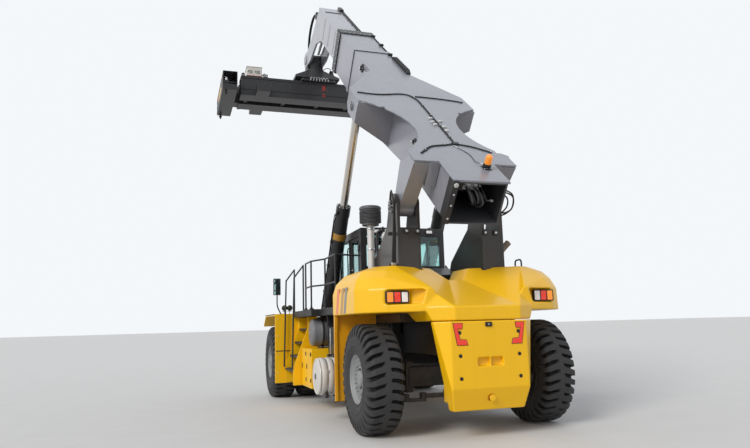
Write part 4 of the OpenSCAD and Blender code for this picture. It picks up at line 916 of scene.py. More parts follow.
    def build(
        self, shop: Workshop, *finishes: Finish, replaces: Sequence[str] = (), smooth: float = 38.0,
    ) -> bpy.types.Object:
        """Makes the mesh, points its faces outwards and hands it to the shop.

        Without finishes of its own, its paint numbers are those of Paint, and it carries only the ones it uses.

        Args:
            shop: who paints it and sets it on its body.
            finishes: its finishes, by paint number.
            replaces: the frame's nodes that it stands for.
            smooth: faces that meet at less than this angle are shaded as one.

        Returns:
            The finished object.
        """
        mesh = bpy.data.meshes.new(self.name)
        mesh.from_pydata(self.station.place(np.concatenate(self.points)).tolist(), [], self.faces)
        paints = np.array(self.paints, np.int32)
        if not finishes:
            used, paints = np.unique(paints, return_inverse=True)
            finishes = tuple(KIT[i] for i in used)
        mesh.polygons.foreach_set("material_index", paints.astype(np.int32).reshape(-1))
        hollow_shade = mesh.attributes.new("hollow_shade", "FLOAT", "POINT")
        hollow_shade.data.foreach_set("value", np.concatenate(self.hollow_shades).astype(np.float32))
        work = bmesh.new()
        work.from_mesh(mesh)
        bmesh.ops.remove_doubles(work, verts=work.verts, dist=1e-6)
        bmesh.ops.dissolve_degenerate(work, edges=work.edges, dist=1e-7)
        bmesh.ops.recalc_face_normals(work, faces=work.faces)
        work.to_mesh(mesh)
        work.free()
        mesh.polygons.foreach_set("use_smooth", np.ones(len(mesh.polygons), bool))
        mesh.set_sharp_from_angle(angle=math.radians(smooth))
        return shop.hand_over(bpy.data.objects.new(self.name, mesh), self.body, finishes, replaces)


class Workshop:
    """Keeps the frame and the finishes, and paints pieces and sets them on their bodies."""

    def __init__(self, frame: dict) -> None:
        """Takes the loaded frame and builds the shared shader groups."""
        self.frame = frame
        self.effects = Effects()
        self.body_of = {n: b for b, names in frame["record"]["behaviour"]["bodies"].items() for n in names}

    def hand_over(
        self, made: bpy.types.Object, body: str, finishes: Sequence[Finish], replaces: Sequence[str] = (),
    ) -> bpy.types.Object:
        """Paints a piece, links it, and says what it rides on and stands for."""
        bpy.context.scene.collection.objects.link(made)
        for finish in finishes:
            made.data.materials.append(finish.material(self.effects))
        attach(made, body)
        if replaces:
            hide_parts(*replaces)
        log.info("%s: %d faces on %s", made.name, len(made.data.polygons), body)
        return made

    def free_hose(
        self, name: str, body: str, points: Iterable[Sequence[float]], radius: float,
        station: Station = MACHINE,
        paint: int = HOSE, steps: int = 12,
    ) -> None:
        """Hangs a hose between two fittings.

        Args:
            name: the hose's name.
            body: what it rides on.
            points: where it passes, in the station's frame.
            radius: of the hose.
            station: whose coordinates the points are in.
            paint: the hose's finish.
            steps: points between each two of the given ones.
        """
        path = curve(points, steps)
        hose, ends = Piece(name, body, station), Piece(name + "_ends", body, station)
        hose.tube(path, radius, paint, 12)
        for end, beyond in ((path[0], path[1]), (path[-1], path[-2])):
            ends.turn(
                [(0, -0.02), (1.3 * radius, -0.02), (1.3 * radius, 0.012), (1.5 * radius, 0.016),
                 (1.5 * radius, 0.055),
                 (1.04 * radius, 0.062), (1.04 * radius, 0.03), (0, 0.03)], end, beyond - end, STEEL, 14)
        made, cuffs = hose.build(self), ends.build(self)

    def paint_node(self, node: str, finish: Finish) -> None:
        """Gives a node of the frame a finish and leaves its shape alone."""
        data = self.frame["nodes"][node].data
        data.materials.clear()
        data.materials.append(finish.material(self.effects))

    def stand_in(
        self, made: bpy.types.Object, node: str, finishes: Sequence[Finish], station: Station,
        zone: Zone | None,
    ) -> bpy.types.Object:
        """Paints a node's copy by zones, sets it in the node's place and levels its shading."""
        faces = made.data.polygons
        paints = np.zeros(len(faces))
        if zone:
            middle, normal = np.empty(len(faces) * 3), np.empty(len(faces) * 3)
            faces.foreach_get("center", middle)
            faces.foreach_get("normal", normal)
            paints = zone(station.local(middle.reshape(-1, 3)), station.level(normal.reshape(-1, 3)))
        faces.foreach_set("material_index", paints.astype(np.int32))
        self.hand_over(made, self.body_of[node], finishes, (node,))
        level = made.modifiers.new("level_faces", "WEIGHTED_NORMAL")
        level.keep_sharp = True
        return made

    def refine(
        self, node: str, *finishes: Finish, edge: float = 0.008, station: Station = MACHINE,
        zone: Zone | None = None,
    ) -> bpy.types.Object:
        """Stands a copy of a node in its place, with its flat faces merged and its free edges rounded.

        An edge is rounded where its faces meet at more than SHARP_ANGLE and are wide enough to give way.

        Args:
            node: the frame's node.
            finishes: the copy's finishes, by paint number.
            edge: how far each rounding reaches from its edge.
            station: whose coordinates zone takes.
            zone: gives each face's paint number from the faces' middles and normals.

        Returns:
            The copy.
        """
        made = bpy.data.objects.new(node + "_dressed", self.frame["nodes"][node].data.copy())
        mesh = made.data
        mesh.materials.clear()
        work = bmesh.new()
        work.from_mesh(mesh)
        bmesh.ops.remove_doubles(work, verts=work.verts, dist=WELD)
        bmesh.ops.dissolve_limit(work, angle_limit=math.radians(0.5), verts=work.verts, edges=work.edges)
        chosen = [e for e in work.edges if self.gives_way(e, edge, math.radians(SHARP_ANGLE))]
        rubbed = work.faces.layers.float.new("edge")
        if chosen:
            done = bmesh.ops.bevel(
                work, geom=chosen, offset=edge, offset_type="OFFSET", segments=2, profile=0.5, affect="EDGES",
                clamp_overlap=False)
            for face in done["faces"]:
                face[rubbed] = 1.0
        work.to_mesh(mesh)
        work.free()
        mesh.polygons.foreach_set("use_smooth", np.ones(len(mesh.polygons), bool))
        mesh.set_sharp_from_angle(angle=math.radians(SHADE_ANGLE))
        return self.stand_in(made, node, finishes, station, zone)

    def cast(self, node: str, finish: Finish, cell: float, rounds: int) -> bpy.types.Object:
        """Stands a softened copy of a node in its place, with every edge rounded as a casting's are.

        The copy is cut into small even cells, and each point moves towards its neighbours' middle a few times.

        Args:
            node: the frame's node.
            finish: the copy's finish.
            cell: the size of a cell.
            rounds: how often the points move.

        Returns:
            The copy.
        """
        made = bpy.data.objects.new(node + "_cast", self.frame["nodes"][node].data.copy())
        made.data.materials.clear()
        work = bmesh.new()
        work.from_mesh(made.data)
        bmesh.ops.remove_doubles(work, verts=work.verts, dist=WELD)
        work.to_mesh(made.data)
        work.free()
        bpy.context.scene.collection.objects.link(made)
        cells = made.modifiers.new("cells", "REMESH")
        cells.mode, cells.voxel_size, cells.adaptivity = "VOXEL", cell, 0.0
        soften = made.modifiers.new("soften", "SMOOTH")
        soften.factor, soften.iterations = 0.5, rounds
        merge = made.modifiers.new("merge", "DECIMATE")
        merge.decimate_type, merge.angle_limit = "DISSOLVE", math.radians(0.35)
        whole = bpy.data.meshes.new_from_object(made.evaluated_get(bpy.context.evaluated_depsgraph_get()))
        made.modifiers.clear()
        bpy.context.scene.collection.objects.unlink(made)
        made.data = whole
        whole.materials.clear()
        whole.polygons.foreach_set("use_smooth", np.ones(len(whole.polygons), bool))
        return self.stand_in(made, node, (finish,), MACHINE, None)

    @staticmethod
    def gives_way(edge: bmesh.types.BMEdge, reach: float, angle: float) -> bool:
        """Returns whether an edge is sharp enough, long enough and between wide enough faces to be rounded.

        At each end, the next edge of either face has to stand off by more than a narrow angle, and to be long
        enough for the rounding to slide along it.
        """
        if len(edge.link_faces) != 2 or edge.calc_face_angle(0.0) < angle:
            return False
        length = edge.calc_length()
        if length < 3.0 * reach or any(f.calc_area() / length < 2.4 * reach for f in edge.link_faces):
            return False
        for loop in edge.link_loops:
            for corner, beside in (
                    (loop, loop.link_loop_prev.edge), (loop.link_loop_next, loop.link_loop_next.edge)):
                turn = corner.calc_angle()
                if turn < 0.6 or beside.calc_length() * math.sin(min(turn, math.pi / 2)) < 2.2 * reach:
                    return False
        return True


# Sub-assemblies


@dataclass
class Wheel:
    """One tyre on its rim: lugs from each shoulder, staggered, with grooves that run out before the middle."""

    along: float
    side: float
    hand: float
    front: bool
    radius: float = 0.815
    half_width: float = 0.28
    bead: float = 0.3503
    lugs: int = 34
    groove: float = 0.062

    def section(self) -> np.ndarray:
        """Returns the tyre's outline from bead to bead: distance from the axle and from the tyre's middle."""
        w, b, r = self.half_width, self.bead, self.radius
        half = np.array([
            (b, -w + 0.062), (b + 0.01, -w + 0.034), (b + 0.028, -w + 0.021), (b + 0.04, -w + 0.02),
            (b + 0.05, -w + 0.026), (b + 0.062, -w + 0.018), (b + 0.095, -w + 0.007), (b + 0.135, -w + 0.001),
            (b + 0.142, -w - 0.004), (b + 0.16, -w - 0.004), (b + 0.167, -w + 0.001), (r - 0.25, -w + 0.001),
            (r - 0.205, -w + 0.003), (r - 0.165, -w + 0.007), (r - 0.15, -w + 0.007), (r - 0.12, -w + 0.011),
            (r - 0.085, -w + 0.018), (r - 0.055, -w + 0.029), (r - 0.032, -w + 0.045), (r - 0.014, -w + 0.062),
            (r - 0.005, -w + 0.08), (r - 0.001, -w + 0.105), (r, -w + 0.135), (r, -w + 0.17), (r, -w + 0.2),
            (r, -w + 0.225), (r, -w + 0.245), (r, -w + 0.262)])
        return np.concatenate([half, half[::-1] * np.array([1.0, -1.0])])

    def tyre(self, piece: Piece, middle: float) -> None:
        """Adds one tyre.

        Rows follow the lugs' edges round the axle: an edge's angle leans with the distance from the middle, and
        the two shoulders stand half a lug apart. A point is pushed in along the outline's normal by the
        groove's depth, which is full between the inner pair of edges, and fades down the sidewall and towards
        the middle.

        Args:
            piece: what it is added to.
            middle: the tyre's middle plane.
        """
        line = self.section()
        slope = unit(np.gradient(line, axis=0))
        inward = np.stack([-np.abs(slope[:, 1]), slope[:, 0]], axis=1)
        reach = line[:, 1] / self.half_width
        lean = np.tanh(reach / 0.16)
        share = np.clip((np.abs(reach) - 0.12) / 0.13, 0, 1)
        high = np.clip((line[:, 0] - (self.radius - 0.19)) / 0.08, 0, 1)
        depth = self.groove * share**2 * (3 - 2 * share) * high**2 * (3 - 2 * high)
        wide = 0.15 + 0.11 * np.abs(reach) ** 0.8
        marks = np.array([-1.0, -0.78, 0.0, 0.78, 1.0])
        top = np.linspace(0.0, 1.0, 6)[1:-1]
        near = wide[None, :] * marks[:, None]
        far = wide[None, :] + (1 - 2 * wide[None, :]) * top[:, None]
        within = np.concatenate([near, far])
        cut = np.concatenate([np.array([0.0, 1.0, 1.0, 1.0, 0.0]), np.zeros(len(top))])
        pitch = 2 * math.pi / self.lugs
        turn = (np.arange(self.lugs)[:, None, None] + within[None]) * pitch
        turn = turn + pitch * (0.25 * lean + 0.48 * np.abs(reach) ** 1.5)[None, None, :]
        drop = cut[None, :, None] * depth[None, None, :] * np.ones((self.lugs, 1, 1))
        r = line[:, 0] + inward[:, 0] * drop
        y = line[:, 1] - np.sign(line[:, 1]) * np.abs(slope[:, 0]) * drop
        angle = turn.reshape(-1, len(line))
        r, y = r.reshape(-1, len(line)), y.reshape(-1, len(line))
        x = self.along + r * np.cos(angle)
        z = self.radius + r * np.sin(angle)
        # The groove's depth share, kept for the painted shade that darkens the grooves.
        hollow_shade = np.clip(drop / self.groove, 0, 1).reshape(-1, len(line))
        points = np.stack([x, self.hand * (middle + y), z], axis=-1)
        piece.grid(points, around=True, along=True, hollow_shade=hollow_shade)

    def rim(self, piece: Piece, middle: float, disc: float) -> None:
        """Adds a rim: a turned barrel with flanges and a lock ring, and a disc off the middle."""
        b, w = self.bead - 0.0003, self.half_width - 0.062
        flange = [
            (b - 0.012, w + 0.004), (b + 0.018, w + 0.016), (b + 0.026, w + 0.026), (b + 0.022, w + 0.032),
            (b + 0.008, w + 0.028), (b - 0.004, w + 0.01), (b, w), (b, -w), (b + 0.014, -w - 0.018),
            (b + 0.022, -w - 0.03), (b + 0.008, -w - 0.026), (b - 0.02, -w), (b - 0.05, -w + 0.05)]
        if self.front:
            profile = [
                (0.152, disc - 0.018), (0.152, disc + 0.018), (0.225, disc + 0.018), (0.262, disc + 0.034),
                (b - 0.045, disc + 0.05), (b - 0.038, w - 0.06), (b - 0.03, w - 0.03), *flange,
                (b - 0.06, disc - 0.02), (0.24, disc - 0.022)]
        else:
            profile = [
                (0.156, disc - 0.03), (0.156, disc), (0.162, disc + 0.006), (0.178, disc + 0.006),
                (0.186, disc), (0.256, disc), (0.264, disc + 0.01), (0.294, disc + 0.01), (0.304, disc + 0.002),
                (0.318, disc + 0.004), *flange, (b - 0.06, disc - 0.06), (0.2, disc - 0.03)]
        axle = np.array([self.along, 0.0, self.radius])
        piece.turn(
            [(r, self.hand * (middle + y)) for r, y in profile], axle, LEFT, sides=56, closed=True)

    def hub(self, piece: Piece) -> None:
        """Adds the hub with its nuts, its end cover and its plug."""
        s, y = self.side, (0, self.hand, 0)
        axle = np.array([self.along, 0.0, self.radius])
        if self.front:
            profile = [
                (0.0, s + 0.262), (0.07, s + 0.262), (0.082, s + 0.256), (0.086, s + 0.246), (0.15, s + 0.244),
                (0.158, s + 0.236), (0.16, s + 0.15), (0.185, s + 0.12), (0.2, s + 0.06), (0.2, s - 0.02),
                (0.16, s - 0.025), (0.16, s - 0.6), (0.152, s - 0.62), (0.0, s - 0.62)]
            piece.turn(profile, axle, y, sides=48)
            piece.bolts(piece.ring_of(12, 0.122, axle + np.array(y) * (s + 0.243), y), y, 0.014, 0.014)
            piece.bolts(piece.ring_of(24, 0.236, axle + np.array(y) * (s - 0.045), y), y, 0.021, 0.036)
            piece.bolts([axle + np.array(y) * (s + 0.26)], y, 0.026, 0.014)
        else:
            profile = [
                (0.0, s + 0.214), (0.06, s + 0.216), (0.104, s + 0.213), (0.12, s + 0.206), (0.128, s + 0.192),
                (0.13, s + 0.15), (0.146, s + 0.146), (0.148, s + 0.08), (0.19, s + 0.06), (0.19, s - 0.07),
                (0.08, s - 0.08), (0.0, s - 0.08)]
            piece.turn(profile, axle, y, sides=48)
            piece.bolts(piece.ring_of(20, 0.221, axle + np.array(y) * (s + 0.185), y), y, 0.02, 0.03)
            piece.bolts(piece.ring_of(20, 0.279, axle + np.array(y) * (s + 0.195), y), y, 0.012, 0.012)
            piece.bolts(piece.ring_of(8, 0.096, axle + np.array(y) * (s + 0.213), y), y, 0.008, 0.007)

    def build(self, shop: Workshop, body: str, tyre_node: str, rim_node: str, twin: float = 0.0) -> None:
        """Builds the tyre or the pair, and the rim with its hub."""
        rubber = Piece(tyre_node + "_treaded", body)
        metal = Piece(rim_node + "_turned", body)
        for middle in [self.side, twin] if twin else [self.side]:
            self.tyre(rubber, middle)
            self.rim(metal, middle, -0.06 if self.front else 0.186)
        self.hub(metal)
        rubber.build(shop, Finishes.rubber, replaces=(tyre_node,), smooth=30.0)
        metal.build(shop, Finishes.rim, replaces=(rim_node,))


@dataclass(frozen=True)
class BoomDress:
    """The outer boom's paints, the pipes in their clips on its top plate, the beacon, and its foot and yoke."""

    top: float = 1.0
    side: float = 0.43
    lift: float = 0.0105
    mouth_from: float = 7.1
    mouth_to: float = 7.448

    def zone(self, points: np.ndarray, normals: np.ndarray) -> np.ndarray:
        """Returns 0 on the boom, 1 on the mouth's collar, 2 for painted shade on the foot and on the legs' inward
        faces, and 3 for painted shade on the inside.
        """
        s, y, t = points.T
        out = np.abs(y)
        low = np.interp(s, [0.7, 2.9], [0.29, 0.02])
        # Faces inside the box take painted shade.
        shaded_inside_faces = (out < self.side - 0.024) & (t < self.top - 0.027) & (t > low + 0.024)
        # Faces of the legs that turn in towards the boom, and the foot under the top plate, take painted shade.
        inward = np.sign(y) * normals[:, 1] < -0.3
        legs = (out > self.side + 0.02) & (s < 1.3) & (t < self.top - 0.032) & inward
        foot = (s < 0.45) & (t < self.top - 0.035) & (out < self.side + 0.02)
        proud = (out > self.side + 0.0035) | (t > self.top + 0.0015) | (t < -0.0005)
        collar = (np.abs(s - 7.36) < 0.075) & proud
        return np.select([collar, legs | foot, shaded_inside_faces], [1, 2, 3], 0)

    def mouth(self, shop: Workshop) -> None:
        """Bolts the black frame that holds the slide pads round the boom's mouth."""
        piece = Piece("boom_mouth_frame", "boom", BOOM)
        a, b = self.mouth_from, self.mouth_to
        piece.slabs((a, -0.462, self.top - 0.002), (b, 0.462, self.top + 0.03), 0.008)
        piece.slabs((a, -0.462, -0.03), (b, 0.462, 0.002), 0.008)
        for sign in (-1, 1):
            piece.slabs((a, sign * 0.446 - 0.016, -0.028), (b, sign * 0.446 + 0.016, self.top + 0.028), 0.008)
            for s in (a + 0.06, b - 0.06):
                piece.bolts(
                    [(s, sign * 0.461, t) for t in np.linspace(0.06, 0.94, 7)], (0, sign, 0), 0.016, 0.012,
                    STEEL)
                piece.bolts(
                    [(s, sign * y, self.top + 0.029) for y in (0.08, 0.2, 0.32)], UP, 0.016, 0.012, STEEL)
        piece.slabs((b - 0.004, -0.405, self.top - 0.1), (b + 0.022, 0.405, self.top - 0.035), 0.005)
        piece.build(shop)

    def lines(self, shop: Workshop) -> None:
        """Lays a pair of pipes along each run, in saddles, with a covered guide by the right edge."""
        piece = Piece("boom_lines", "boom", BOOM)
        t = self.top + self.lift
        runs = (
            ((7.27, -0.4), (6.2, -0.4), (5.3, -0.405), (4.9, -0.41)),
            ((2.6, 1.08), (2.56, 0.8), (2.58, 0.58), (2.72, 0.2), (2.7, 0.02), (2.45, -0.085), (1.69, -0.08),
             (1.03, -0.075),
             (0.37, -0.065), (0.28, 0.2), (0.22, 0.42), (-0.08, 0.68)),
            ((2.64, -0.1), (2.63, -0.41), (2.61, -0.72), (2.53, -1.07)),
            ((0.37, -0.09), (0.3, -0.35), (0.1, -0.62)))
        for run in runs:
            line = bend([(s, y, t) for s, y in run], 0.15)
            slope = unit(np.gradient(line, axis=0))
            aside = np.stack([-slope[:, 1], slope[:, 0], np.zeros(len(slope))], axis=1)
            for shift in (-0.0105, 0.0105):
                piece.tube(line + aside * shift, 0.0085, PLASTIC, 10)
            piece.saddles(line, 0.55, (0.022, 0.056, 0.024), drop=0.002)
        for s, y in ((1.47, -0.01), (1.3, 0.01), (1.1, -0.14), (1.36, -0.16), (0.92, -0.12), (1.18, 0.0)):
            piece.block((s, y, t + 0.004), (1, 0.1, 0), UP, (0.05, 0.075, 0.036), 0.006, ALUMINIUM)
            piece.bolts([(s, y, t + 0.021)], UP, 0.01, 0.01, STEEL)
        guide = np.array([(5.28, 0.02), (5.2, 0.062), (4.2, 0.074), (4.1, 0.03), (4.1, 0.0), (5.28, 0.0)])
        piece.plate(guide + np.array([0.0, self.top]), -0.475, -0.375, 1, 0.01, PLASTIC)
        ribs = np.linspace(4.25, 5.15, 10)[:, None]
        top = self.top + np.interp(ribs, [4.2, 5.2], [0.074, 0.062])
        piece.slabs(
            np.concatenate([ribs - 0.008, 0 * ribs - 0.48, top - 0.012], axis=1),
            np.concatenate([ribs + 0.008, 0 * ribs - 0.37, top + 0.008], axis=1), 0.003, BLACK)
        for s in (5.5, 6.3, 7.1):
            piece.slabs((s - 0.03, -0.455, self.top), (s + 0.03, -0.345, self.top + 0.052), 0.006)
        piece.block((0.37, -0.075, t), LEFT, UP, (0.1, 0.08, 0.05), 0.008)
        piece.build(shop, replaces=("boom_pipes",))

    def beacon(self, shop: Workshop) -> None:
        """Stands the turning lamp on its bracket."""
        piece = Piece("beacon_lamp", "boom", BOOM)
        piece.slabs((-0.56, -0.33, 0.999), (-0.42, -0.19, 1.012), 0.003)
        piece.slabs((-0.575, -0.29, 1.0), (-0.405, -0.23, 1.03), 0.006)
        piece.turn(
            [(0, 0), (0.06, 0), (0.064, 0.006), (0.064, 0.04), (0.058, 0.048), (0, 0.048)],
            (-0.49, -0.26, 1.028), UP, PLASTIC, 36)
        a = np.linspace(0.0, 1.0, 13)
        wall = [(0.0535 + 0.0022 * (i % 2), 0.0085 * i) for i in range(13)]
        dome = [(0.054 * math.cos(q * math.pi / 2), 0.104 + 0.052 * math.sin(q * math.pi / 2)) for q in a[1:]]
        piece.turn([(0, 0)] + wall + dome, (-0.49, -0.26, 1.074), UP, AMBER, 40)
        piece.bolts([(-0.545, -0.315, 1.012), (-0.435, -0.315, 1.012), (-0.545, -0.205, 1.012),
                     (-0.435, -0.205, 1.012)],
                    UP, 0.01, 0.008, STEEL)
        piece.hose(
            curve([(-0.43, -0.22, 1.04), (-0.3, -0.16, 1.012), (0.0, -0.16, 1.006), (0.28, -0.02, 1.012)]),
            0.005)
        piece.build(shop, replaces=("beacon",))

    def foot(self, shop: Workshop) -> None:
        """Fills the open foot with its valve block and hoses, and bolts a guide channel beside it."""
        piece = Piece("boom_foot_lines", "boom", BOOM)
        piece.slabs((-1.008, 0.428, 0.34), (-0.8, 0.474, 0.985), 0.006)
        piece.slabs((-1.04, 0.404, 0.3), (-1.004, 0.5, 1.02), 0.006)
        piece.bolts([(-1.041, 0.452, t) for t in (0.4, 0.62, 0.8)], BACK, 0.018, 0.014, STEEL)
        piece.turn(
            [(0, 0), (0.034, 0), (0.036, 0.01), (0.03, 0.016), (0.016, 0.016), (0.014, 0.006), (0, 0.006)],
            (-1.041, 0.452, 0.955), BACK, WHITE, 24)
        piece.slabs((-0.62, -0.16, 0.66), (-0.3, 0.2, 0.9), 0.008)
        piece.slabs((-0.66, -0.1, 0.7), (-0.61, 0.14, 0.86), 0.006, ALUMINIUM)
        piece.slabs((-0.62, 0.16, 0.895), (-0.3, 0.2, 0.972), 0.004)
        piece.slabs((-0.62, -0.16, 0.895), (-0.3, -0.12, 0.972), 0.004)
        for i in range(9):
            y, t = 0.13 - 0.032 * i, 0.8 - 0.018 * (i % 4)
            piece.hose(curve([
                (-0.64, y, t), (-0.76, y - 0.03, t - 0.06), (-0.8, y - 0.1, t - 0.19),
                (-0.72, y - 0.17 + 0.012 * i, t - 0.3),
                (-0.42, y - 0.2 + 0.02 * i, t - 0.36), (0.4, y - 0.16 + 0.016 * i, 0.46), (1.1, 0.7 * y, 0.5)]),
                0.0125 + 0.002 * (i % 2), GREY if i % 3 == 1 else HOSE)
        for y in (-0.335, 0.345):
            piece.hose(
                curve([(-0.8, y, 0.6), (-0.55, y, 0.52), (0.2, 0.95 * y, 0.56), (1.1, 0.95 * y, 0.6)]), 0.016,
                ALUMINIUM)
        piece.build(shop)
        for i, (drop, reach) in enumerate(((0.3, 0.62), (0.38, 0.66), (0.45, 0.6))):
            shop.free_hose(
                f"foot_loop_{i + 1}", "boom",
                [(-0.8 + 0.05 * i, -0.434, 0.82 - 0.06 * i), (-0.86 + 0.05 * i, -reach, 0.74 - 0.05 * i),
                 (-0.8 + 0.06 * i, -reach - 0.09, 0.56 - drop / 3),
                 (-0.62 + 0.05 * i, -reach - 0.02, 0.6 - drop),
                 (-0.46, -0.55, 0.44 - 0.04 * i), (-0.4, -0.434, 0.52 - 0.06 * i)], 0.012, BOOM)

    def yoke(self, shop: Workshop) -> None:
        """Caps the yoke's pins, and adds the sensors on the side, each with its hose."""
        piece = Piece("boom_yoke_caps", "boom", BOOM)
        piece.turn(
            [(0, 0), (0.078, 0), (0.084, -0.006), (0.084, -0.02), (0, -0.02)], (2.45, 1.206, 0.78), LEFT,
            FOOT, 40)
        piece.bolts(piece.ring_of(6, 0.058, (2.45, 1.205, 0.78), LEFT), LEFT, 0.013, 0.01, STEEL)
        piece.bolts([(2.45, 1.205, 0.78)], LEFT, 0.01, 0.018, STEEL)
        piece.mirror()
        for s, t, r in ((4.725, 0.86, 0.095), (0.86, 0.8, 0.06)):
            piece.turn(
                [(0, 0), (r, 0), (r, 0.016), (0.9 * r, 0.024), (0.55 * r, 0.026), (0.5 * r, 0.06),
                 (0.4 * r, 0.066), (0, 0.066)], (s, self.side - 0.001, t), LEFT, PLASTIC, 32)
            piece.turn(
                [(0, 0), (0.34 * r, 0), (0.34 * r, 0.012), (0, 0.014)], (s, self.side + 0.064, t), LEFT, WHITE,
                20)
            piece.bolts(
                piece.ring_of(5, 0.75 * r, (s, self.side + 0.022, t), LEFT), LEFT, 0.008, 0.006, STEEL)
            piece.hose(curve([
                (s - 0.05, self.side + 0.03, t), (s - 0.25, self.side + 0.03, t + 0.06),
                (s - 0.45, self.side + 0.016, t + 0.02)]),
                0.006)
        piece.build(shop)

    def build(self, shop: Workshop) -> None:
        """Dresses the outer boom."""
        # The foot, the legs' inward faces and the inside of the box take painted shade through the zone.
        shop.refine(
            "boom_base", Finishes.boom_grey, Finishes.black, Finishes.foot_shade_and_cap_grey, Finishes.inside, edge=0.008,
            station=BOOM, zone=self.zone)
        self.mouth(shop)
        self.lines(shop)
        self.beacon(shop)
        self.foot(shop)
        self.yoke(shop)


@dataclass(frozen=True)
class RearDress:
    """The tail's lamps and latch, the towers' keepers and caps, and the hoses beside the left tower."""

    back: float = -1.17
    lamp_back: float = -0.716
    tower_back: float = -0.075

    def lamps(self, shop: Workshop) -> None:
        """Builds the lenses in their black frame, the red marks and the lifting threads' plugs, on both sides."""
        piece = Piece("rear_lamp_clusters", "chassis")
        x = self.lamp_back
        piece.slabs((x, 1.035, 1.915), (x + 0.048, 1.385, 2.085), 0.01, PLASTIC)
        for y, z in ((1.21, 2.079), (1.21, 1.921)):
            piece.slabs((x - 0.016, 1.04, z - 0.007), (x + 0.004, 1.38, z + 0.007), 0.004, PLASTIC)
        for y in (1.042, 1.153, 1.267, 1.378):
            piece.slabs((x - 0.016, y - 0.007, 1.918), (x + 0.004, y + 0.007, 2.082), 0.004, PLASTIC)
        for y, paint in ((1.0975, CLEAR), (1.21, RED), (1.3225, AMBER)):
            piece.slabs((x - 0.012, y - 0.0475, 1.928), (x + 0.002, y + 0.0475, 2.072), 0.008, paint)
            rings = [(r, 0.012 + 0.0035 * (i % 2)) for i, r in enumerate(np.linspace(0.042, 0.006, 7))]
            piece.turn([(0, 0), (0.045, 0), (0.045, 0.01)] + rings + [(0, 0.016)], (x, y, 2.0), BACK, paint, 36)
        mark = [(0.42, 1.6), (0.562, 1.6), (0.508, 1.3), (0.35, 1.3), (0.368, 1.368), (0.466, 1.376),
                (0.502, 1.526), (0.43, 1.526)]
        piece.plate(mark, self.back - 0.013, self.back - 0.002, 0, 0.004, RED)
        piece.plate(inset(np.array(mark), -0.007), self.back - 0.006, self.back + 0.002, 0, 0.002, PLASTIC)
        for z in (1.47, 1.15, 0.84):
            piece.turn(
                [(0, 0.006), (0.012, 0.006), (0.014, 0), (0.018, 0), (0.0225, 0.003), (0.0245, 0.003),
                 (0.026, -0.002), (0.02, -0.006), (0, -0.006)], (self.back + 0.001, 0.465, z), BACK, HOSE, 28)
        piece.mirror()
        piece.build(shop, replaces=("rear_lamps",))

    def tail(self, shop: Workshop) -> None:
        """Adds the hood's latch and the plug of the tow hole."""
        piece = Piece("tail_fittings", "chassis")
        x = self.back
        piece.slabs((x - 0.022, -0.04, 1.548), (x + 0.004, 0.062, 1.612), 0.006, PLASTIC)
        piece.slabs((x - 0.034, -0.02, 1.566), (x - 0.02, 0.042, 1.596), 0.005)
        piece.turn(rod(0.01, 0.004), (x - 0.034, 0.024, 1.581), BACK, STEEL, 16)
        piece.turn(
            [(0, 0), (0.0443, 0), (0.0443, 0.012), (0.04, 0.016), (0, 0.016)], (x + 0.017, 0, 0.56), BACK,
            YELLOW, 40)
        piece.build(shop)

    def towers(self, shop: Workshop) -> None:
        """Bolts the keepers and the pivot caps, and hangs the hoses beside the left tower."""
        piece = Piece("tower_fittings", "chassis")
        for y in (0.6, 0.79):
            piece.slabs(
                (self.tower_back - 0.01, y - 0.04, 3.028), (self.tower_back + 0.002, y + 0.04, 3.112), 0.003)
            piece.bolts([(self.tower_back - 0.009, y, 3.07)], BACK, 0.024, 0.018, STEEL)
        cap = (0.15, 0.9605, 3.5)
        piece.turn([(0, 0), (0.06, 0), (0.064, 0.008), (0.06, 0.014), (0, 0.014)], cap, LEFT, BLACK, 36)
        piece.bolts(piece.ring_of(8, 0.084, cap, LEFT), LEFT, 0.012, 0.01, STEEL)
        piece.bolts([(0.15, 0.974, 3.5)], LEFT, 0.009, 0.016, STEEL)
        piece.mirror()
        piece.slabs((0.02, 0.93, 2.5), (0.06, 1.06, 2.56), 0.005)
        piece.slabs((0.06, 0.93, 3.02), (0.12, 1.05, 3.07), 0.005)
        piece.build(shop)
        for i in range(4):
            y = 0.985 + 0.022 * i
            shop.free_hose(
                f"tower_hose_{i + 1}", "chassis",
                [(0.16 - 0.02 * i, 0.972 + 0.006 * i, 3.56), (0.03 - 0.07 * i, y + 0.01, 3.72 - 0.01 * i),
                 (-0.12 - 0.055 * i, y + 0.02, 3.5 - 0.03 * i), (-0.1 - 0.03 * i, y, 3.05),
                 (-0.05 - 0.02 * i, y - 0.005, 2.7), (-0.02 - 0.015 * i, y - 0.01, 2.505)], 0.013)

    def build(self, shop: Workshop) -> None:
        """Dresses the tail and the towers."""
        self.lamps(shop)
        self.tail(shop)
        self.towers(shop)


